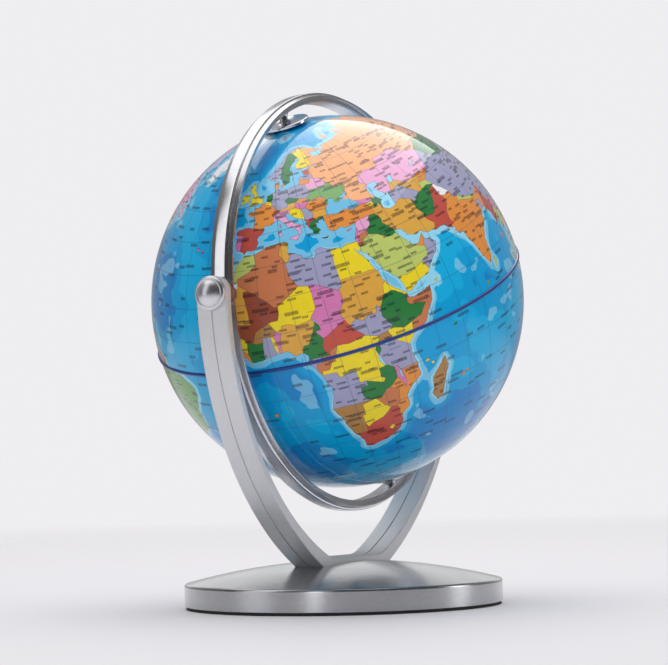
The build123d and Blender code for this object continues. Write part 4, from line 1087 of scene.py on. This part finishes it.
def arm_outline():
    """Closed outline of both arms and the foot, mm."""
    top = sizes().pivot_height / MM + sizes().yoke_width / MM / 2

    def angle(centre, radius, z):
        return math.degrees(math.asin((z - centre[1]) / radius))

    round_z = FOOT_TOP + FOOT_ROUND
    round_x = INNER_ARC[0] + math.sqrt((INNER_R - FOOT_ROUND) ** 2 - (INNER_ARC[1] - round_z) ** 2)
    meet = math.degrees(math.atan2(round_z - INNER_ARC[1], round_x - INNER_ARC[0]))
    right = arc(OUTER_ARC, OUTER_R, angle(OUTER_ARC, OUTER_R, FOOT_LOW), angle(OUTER_ARC, OUTER_R, top), 44)
    right += arc(INNER_ARC, INNER_R, angle(INNER_ARC, INNER_R, top), meet, 44)
    right += arc((round_x, round_z), FOOT_ROUND, meet, -90, 8)[1:]
    return right + [(-x, z) for x, z in reversed(right)]


def fill_and_extrude(start, step):
    """Fill the outline on hand with a face, move it to start along Y and draw it out by step."""
    bpy.ops.mesh.select_all(action="SELECT")
    bpy.ops.mesh.edge_face_add()
    bpy.ops.transform.translate(value=(0, start, 0))
    bpy.ops.mesh.extrude_region_move(TRANSFORM_OT_translate={"value": (0, step, 0)})


def crown_cutter():
    """A block with a half-round top that rounds the ends of the arms."""
    half, top = sizes().yoke_width / 2, sizes().pivot_height
    cutter = draw_outline("crown_cutter", [(-half, 0), (half, 0)] + arc((0, top), half, 0, 180, 48))
    fill_and_extrude(-120 * MM, 240 * MM)
    finish_normals()
    bpy.ops.object.mode_set(mode="OBJECT")
    set_down(cutter, Matrix.Rotation(math.pi / 2, 4, "Z"))
    return cutter


class GLOBE_OT_stand_halves(Operator):
    """Model the front and rear halves of the stand, with the fine seam where they meet"""
    bl_idname = "globe.stand_halves"
    bl_label = "Stand halves"

    def execute(self, context):
        half = sizes().yoke_width / 2
        paint = silver_paint("stand_silver", tuple(hues().silver), 0.65, 0.34)
        for side, node in ((-1, "yoke_front_half"), (1, "yoke_rear_half")):
            obj = draw_outline(node.replace("yoke", "stand"), in_mm(arm_outline()))
            fill_and_extrude(side * half, -side * (half - SEAM))
            bpy.ops.mesh.inset(thickness=SEAM)
            bpy.ops.mesh.extrude_region_move(TRANSFORM_OT_translate={"value": (0, -side * SEAM, 0)})
            finish_normals()
            bpy.ops.mesh.select_mode(type="FACE")
            bpy.ops.mesh.select_all(action="DESELECT")
            mesh = bmesh.from_edit_mesh(obj.data)
            for face in mesh.faces:
                face.select = all(abs(v.co.y - side * half) < WELD for v in face.verts)
            bmesh.update_edit_mesh(obj.data)
            bpy.ops.mesh.region_to_loop()
            bpy.ops.mesh.bevel(offset=0.45 * MM, segments=3)
            bpy.ops.object.mode_set(mode="OBJECT")
            cutter = crown_cutter()
            apply(obj, "BOOLEAN", operation="INTERSECT", object=cutter, solver="EXACT")
            bpy.data.objects.remove(cutter)
            ease(obj, 0.1 * MM, 35)
            dress(obj, "stand", "silver_paint", paint, node)
        return {"FINISHED"}


KNOB_SEAT = 85.9                                           # arm's outer face to the ring's centre, mm
WASHER = [(1.9, 79.4), (5.1, 79.4), (5.38, 79.52), (5.5, 79.8), (5.5, 82.6), (1.9, 82.6)]


def knob_outline():
    """Raised rim and shallow dome of a pivot knob as (radius, distance from the ring's centre), mm."""
    knob = sizes().knob_radius / MM
    rim = [(knob - inward, KNOB_SEAT + out) for inward, out in (
        (0, -0.3), (0, 0.9), (0.08, 1.25), (0.3, 1.6), (0.62, 1.83), (1.0, 1.9), (1.25, 1.82))]
    dome = [(6.0 * math.sin(a), KNOB_SEAT - 1.9 + 6.0 * math.cos(a)) for a in np.linspace(0.93, 0, 14)]
    return [(0, KNOB_SEAT - 0.3)] + rim + dome


class GLOBE_OT_knobs(Operator):
    """Turn the pivot knobs and the washers between the arms and the ring"""
    bl_idname = "globe.knobs"
    bl_label = "Knobs and washers"

    def execute(self, context):
        # The last number scales the chrome tint: the washers' chrome is painted darker, as painted shade
        # between the arms and the ring.
        kinds = (("cap", "knob", knob_outline(), 96, 0.32, 1.0), ("spacer", "washer", WASHER, 72, 0.3, 0.55))
        for side, word in ((-1, "left"), (1, "right")):
            turn_x, centre = (0, side * math.pi / 2, 0), (0, 0, sizes().pivot_height)
            for part, piece, outline, steps, rough, shade in kinds:
                obj = turn_outline(f"{word}_pivot_{piece}", in_mm(outline), steps)
                ease(obj, 0.08 * MM)
                set_down(obj, pivot_place(side))
                # painted shade: the washers take a darkened copy of the knobs' chrome
                tint = tuple(c * shade for c in hues().chrome)
                metal = satin_chrome(f"{word}_{part}_chrome", tint, turn_x, centre, rough)
                dress(obj, "stand", "satin_chrome", metal, f"{word}_pivot_{part}")
        return {"FINISHED"}


WASHER_SEAT = [(0, 79.3), (5.9, 79.3), (5.9, 84), (0, 84)]  # flat cut under each washer, mm


def whole_section(half):
    """A ring's section from one half of it, given as (radius, distance from the middle plane)."""
    return half + [(r, -w) for r, w in reversed(half) if w > 0]


class GLOBE_OT_ring(Operator):
    """Spin the outer and inner bands of the meridian ring and cut the flats under the washers"""
    bl_idname = "globe.ring"
    bl_label = "Meridian ring"

    def execute(self, context):
        crest = sizes().ring_radius / MM
        outer = whole_section([(77.9, 0), (77.9, 4.6), (78.6, 4.6), (79.15, 2.75), (79.15, 2.5),
                               (79.75, 2.4), (crest - 0.06, 2.1), (crest, 1.2), (crest, 0)])
        inner = whole_section([(76.1, 0), (76.1, 3.2), (76.4, 3.5), (77.9, 3.7), (77.9, 0)])
        place = ring_place() @ Matrix.Rotation(-math.pi / 2, 4, "X")
        turn_y, centre = (-math.pi / 2 - sizes().ring_lean, 0, 0), (0, 0, sizes().pivot_height)
        for name, section in (("ring_outer", outer), ("ring_inner", inner)):
            obj = turn_outline(name, in_mm(section), ROUND_STEPS)
            set_down(obj, place)
            for side in (-1, 1) if name == "ring_outer" else ():
                cutter = turn_outline("washer_seat", in_mm(WASHER_SEAT), 48)
                set_down(cutter, pivot_place(side))
                apply(obj, "BOOLEAN", operation="DIFFERENCE", object=cutter, solver="EXACT")
                bpy.data.objects.remove(cutter)
            ease(obj, 0.12 * MM, 25)
            metal = satin_chrome(name + "_chrome", tuple(hues().chrome), turn_y, centre)
            dress(obj, "ring", "satin_chrome", metal, name + "_band")
        return {"FINISHED"}


# outlines of the pole fittings as (radius, distance from the ball's centre), mm
POLE_CAP = [(1.3, 70.95), (4.2, 71.0), (5.2, 71.35), (8.6, 71.35), (9.2, 71.7), (9.2, 72.5), (8.7, 72.8),
            (8.1, 72.7), (5.0, 72.25), (2.9, 72.3), (2.1, 72.7), (1.75, 73.4), (1.3, 73.4)]
POLE_PIN = [(0, 71.05), (1.2, 71.05), (1.2, 73.7), (1.6, 73.75), (1.75, 74.6), (2.1, 75.4), (2.8, 76.15),
            (1.6, 76.2), (1.6, 78.6), (0, 78.6)]


class GLOBE_OT_pole_fittings(Operator):
    """Turn the flared caps on the ball's poles and the pins that hold them in the ring"""
    bl_idname = "globe.pole_fittings"
    bl_label = "Pole fittings"

    def execute(self, context):
        centre = (0, 0, sizes().pivot_height)
        for pole, word in ((1, "north"), (-1, "south")):
            turn_z = polar_place(pole).to_euler()
            for kind, outline, body in (("cap", POLE_CAP, "globe"), ("pin", POLE_PIN, "ring")):
                obj = turn_outline(f"{word}_{kind}", in_mm(outline), 72)
                ease(obj, 0.1 * MM)
                set_down(obj, polar_place(pole))
                metal = satin_chrome(f"{word}_{kind}_chrome", tuple(hues().chrome), turn_z, centre, 0.14)
                dress(obj, body, "satin_chrome", metal, f"{word}_pole_{kind}")
        return {"FINISHED"}


class GLOBE_OT_band(Operator):
    """Turn the navy band that covers the joint of the two halves"""
    bl_idname = "globe.band"
    bl_label = "Equator band"

    def execute(self, context):
        section = [(70.3, -0.65), (71.25, -0.65), (71.55, -0.4), (71.6, 0), (71.55, 0.4), (71.25, 0.65),
                   (70.3, 0.65)]
        obj = turn_outline("equator_rib", in_mm(section), ROUND_STEPS)
        set_down(obj, polar_place())
        ease(obj, 0.05 * MM, 50)
        navy = moulded_plastic("band_navy", tuple(hues().navy), 0.3)
        dress(obj, "globe", "navy_plastic", navy, "equator_band")
        return {"FINISHED"}


class GLOBE_OT_ball(Operator):
    """Lay the map out on both halves of the ball and close their walls"""
    bl_idname = "globe.ball"
    bl_label = "Printed ball"

    def execute(self, context):
        ink = map_print()
        noise.seed_set(COAST_SEED)
        for pole, word in ((1, "north"), (-1, "south")):
            obj = map_half(f"{word}_map", pole)
            round_light(obj)
            dress(obj, "globe", "globe_print", ink, f"{word}_hemisphere")
        return {"FINISHED"}


def round_light(obj):
    """Give the printed face the ball's own normals, the inner face the same turned round, the rim its own."""
    mesh = obj.data
    spots = np.empty(len(mesh.vertices) * 3)
    mesh.vertices.foreach_get("co", spots)
    out = spots.reshape(-1, 3) - (0, 0, sizes().pivot_height)
    far = np.linalg.norm(out, axis=1)
    out /= far[:, None]
    mid = sizes().globe_radius - sizes().wall / 2
    normals = []
    for face in mesh.polygons:
        rows = list(face.vertices)
        if (far[rows] > mid).all():
            normals += [tuple(n) for n in out[rows]]
        elif (far[rows] < mid).all():
            normals += [tuple(-n) for n in out[rows]]
        else:
            normals += [tuple(face.normal)] * len(rows)
    mesh.shade_smooth()
    mesh.normals_split_custom_set(normals)


class GLOBE_OT_hidden_parts(Operator):
    """Finish the CAD pieces that keep their own shape: plate, pad, ballast, screws, bushes and joint ring"""
    bl_idname = "globe.hidden_parts"
    bl_label = "Hidden parts"

    def execute(self, context):
        steel, foam = plain_steel("zinc_steel"), black_foam("black_foam")
        white = moulded_plastic("white_plastic", (0.78, 0.78, 0.76), 0.4)
        kept = {foam: ("base_foot_pad",), white: ("equator_joint_ring", "north_hub_bush", "south_hub_bush"),
                steel: ("base_bottom_plate", "base_ballast", "ballast_bolt", "ballast_nut",
                        "base_plate_screws", "yoke_foot_screws", "yoke_dowels", "left_pivot_pin",
                        "right_pivot_pin")}
        for material, names in kept.items():
            for name in names:
                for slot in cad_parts[name].material_slots:
                    slot.material = material
        return {"FINISHED"}


# ---- studio -----------------------------------------------------------------------------------------
VIEW_TURN, VIEW_AWAY, VIEW_HEIGHT = math.radians(58.57), 1.0223, 0.0629    # where the camera stands
VIEW_YAW, VIEW_PITCH, VIEW_ROLL = (math.radians(a) for a in (58.48, 2.30, 1.21))
LENS = 144.4


def add_camera():
    """Add the camera and return its directions to the right, up and ahead."""
    data = bpy.data.cameras.new("studio_camera")
    data.lens, data.sensor_width, data.clip_start, data.clip_end = LENS, 36, 0.01, 20
    camera = bpy.data.objects.new("studio_camera", data)
    ahead = Vector((math.sin(VIEW_YAW) * math.cos(VIEW_PITCH), math.cos(VIEW_YAW) * math.cos(VIEW_PITCH),
                    math.sin(VIEW_PITCH)))
    right = Vector((math.cos(VIEW_YAW), -math.sin(VIEW_YAW), 0))
    roll = Matrix.Rotation(VIEW_ROLL, 3, ahead)
    right, up = roll @ right, roll @ right.cross(ahead)
    spot = (-VIEW_AWAY * math.sin(VIEW_TURN), -VIEW_AWAY * math.cos(VIEW_TURN), VIEW_HEIGHT)
    facing = Matrix((right, up, -ahead)).transposed().to_4x4()
    camera.matrix_world = Matrix.Translation(spot) @ facing
    bpy.context.scene.collection.objects.link(camera)
    bpy.context.scene.camera = camera
    return right, up, ahead


def add_softbox(name, towards, away, width, height, radiance, level=False):
    """A soft white panel in a direction from the ball's centre, facing it, or the floor if level."""
    data = bpy.data.lights.new(name, "AREA")
    data.shape, data.size, data.size_y = "RECTANGLE", width, height
    data.energy = radiance * math.pi * width * height
    lamp = bpy.data.objects.new(name, data)
    lamp.visible_glossy = False
    spot = Vector((0, 0, sizes().pivot_height)) + towards.normalized() * away
    facing = Matrix.Rotation(-VIEW_YAW, 3, "Z") if level else towards.to_track_quat("Z", "Y").to_matrix()
    lamp.matrix_world = Matrix.Translation(spot) @ facing.to_4x4()
    bpy.context.scene.collection.objects.link(lamp)
    return lamp


def only_gleam(lamp, subjects):
    """Let a panel show as a reflection, and only on these pieces."""
    lamp.visible_glossy, lamp.visible_diffuse = True, False
    group = bpy.data.collections.new(lamp.name + "_subjects")
    for piece in subjects:
        group.objects.link(piece)
    lamp.light_linking.receiver_collection = group


def studio_air(ahead):
    """Even bright air for the camera and for soft light; reflections see a dim room with a bright far end."""
    world = bpy.data.worlds.new("studio_air")
    world.use_nodes = True
    air = NodeSheet(world.node_tree)
    place = air.make("ShaderNodeTexCoord", output="Generated")
    towards = air.make("ShaderNodeVectorMath", {"operation": "DOT_PRODUCT"},
                       {0: place, 1: ahead * 0.5 + Vector((0, 0, 0.12))}, output="Value")
    room = air.make("ShaderNodeValToRGB", {"stops": (
        (0, (0.05, 0.05, 0.055)), (0.42, (0.05, 0.05, 0.051)), (0.62, (0.09, 0.09, 0.0918)),
        (0.80, (0.2, 0.2, 0.204)), (1, (0.36, 0.36, 0.37)))}, {0: towards + 0.5})
    camera_ray = air.make("ShaderNodeLightPath", output="Is Camera Ray")
    lit = air.mix(camera_ray.other("Is Diffuse Ray"), room, (0.74, 0.74, 0.75))
    around, seen = (air.make("ShaderNodeBackground", None, {"Color": tint})
                    for tint in (lit, (0.862, 0.85, 0.872)))
    both = air.make("ShaderNodeMixShader", None, {0: camera_ray, 1: around, 2: seen})
    air.end("ShaderNodeOutputWorld", both)
    bpy.context.scene.world = world


def floor_finish():
    """Pale paper that fades into the air round the object."""
    paper = Finish("studio_paper", Roughness=0.55)
    grain = paper.noise(500, 3)
    paper.set("Base Color", paper.mix(grain, tuple(c * 0.985 for c in hues().floor), tuple(hues().floor)))
    away = paper.make("ShaderNodeVectorMath", {"operation": "LENGTH"}, {0: paper.place}, output="Value")
    paper.set("Alpha", 1 - away.over(0.28, 1.15))
    return paper.material


class GLOBE_OT_studio(Operator):
    """Lay the pale floor and set up the lights and the camera"""
    bl_idname = "globe.studio"
    bl_label = "Studio"

    def execute(self, context):
        put_tools_down()
        bpy.ops.mesh.primitive_circle_add(vertices=128, radius=1.4, fill_type="NGON")
        floor = bpy.context.object
        floor.name = floor.data.name = "studio_floor"
        floor.data.materials.append(floor_finish())
        right, up, ahead = add_camera()
        studio_air(ahead)
        over = up + 0.42 * ahead
        add_softbox("overhead_softbox", over, 0.93, 1.0, 1.6, 1.5, level=True)
        add_softbox("front_fill", 0.15 * right + 0.02 * up - 0.9 * ahead, 1.5, 1.2, 0.7, 2.2)
        ball = [bpy.data.objects[name] for name in ("north_map", "south_map", "equator_rib")]
        rest = [piece for piece in bpy.data.objects if piece.type == "MESH" and piece not in ball]
        base = [bpy.data.objects["base_dome"]]
        # panels that only show as reflections: towards, how far away, width, height, strength, level, on what
        for name, *panel, subjects in (
                ("ball_gleam", over, 0.87, 1.0, 1.6, 2.8, True, ball),
                ("top_gleam", over - 0.25 * right, 0.81, 1.0, 1.1, 1.2, True, rest),
                ("left_gleam", -0.85 * right + 0.35 * up - 0.38 * ahead, 1.2, 0.5, 1.3, 1.15, False, rest),
                ("right_gleam", right + 0.1 * up, 1.2, 0.3, 0.8, 3.2, False, rest),
                ("far_gleam", ahead + 0.18 * up, 1.4, 1.6, 0.5, 0.55, False, base),
                ("near_gleam", -0.34 * right + 0.1 * up - 0.94 * ahead, 1.2, 0.2, 0.5, 3.5, False, base)):
            only_gleam(add_softbox(name, *panel), subjects)
        context.scene.view_settings.view_transform = "Standard"
        return {"FINISHED"}


class GLOBE_PT_panel(Panel):
    """Sizes, colours and the steps that model the globe"""
    bl_idname = "GLOBE_PT_panel"
    bl_label = "Desktop globe"
    bl_space_type = "VIEW_3D"
    bl_region_type = "UI"
    bl_category = "Globe"

    def draw(self, context):
        for group in (sizes(), hues()):
            box = self.layout.box()
            for name in group.__annotations__:
                box.prop(group, name)
        for step in STEPS:
            self.layout.operator(step.bl_idname)


STEPS = (GLOBE_OT_base, GLOBE_OT_stand_halves, GLOBE_OT_knobs, GLOBE_OT_ring, GLOBE_OT_pole_fittings,
         GLOBE_OT_band, GLOBE_OT_ball, GLOBE_OT_hidden_parts, GLOBE_OT_studio)
CLASSES = (GlobeSizes, GlobeColours, *STEPS, GLOBE_PT_panel)


def register():
    for item in CLASSES:
        bpy.utils.register_class(item)
    bpy.types.Scene.globe_sizes = PointerProperty(type=GlobeSizes)
    bpy.types.Scene.globe_colours = PointerProperty(type=GlobeColours)


def unregister():
    del bpy.types.Scene.globe_sizes, bpy.types.Scene.globe_colours
    for item in reversed(CLASSES):
        bpy.utils.unregister_class(item)


def main():
    register()
    for step in STEPS:
        group, name = step.bl_idname.split(".")
        getattr(getattr(bpy.ops, group), name)()


if __name__ == "__main__":
    main()
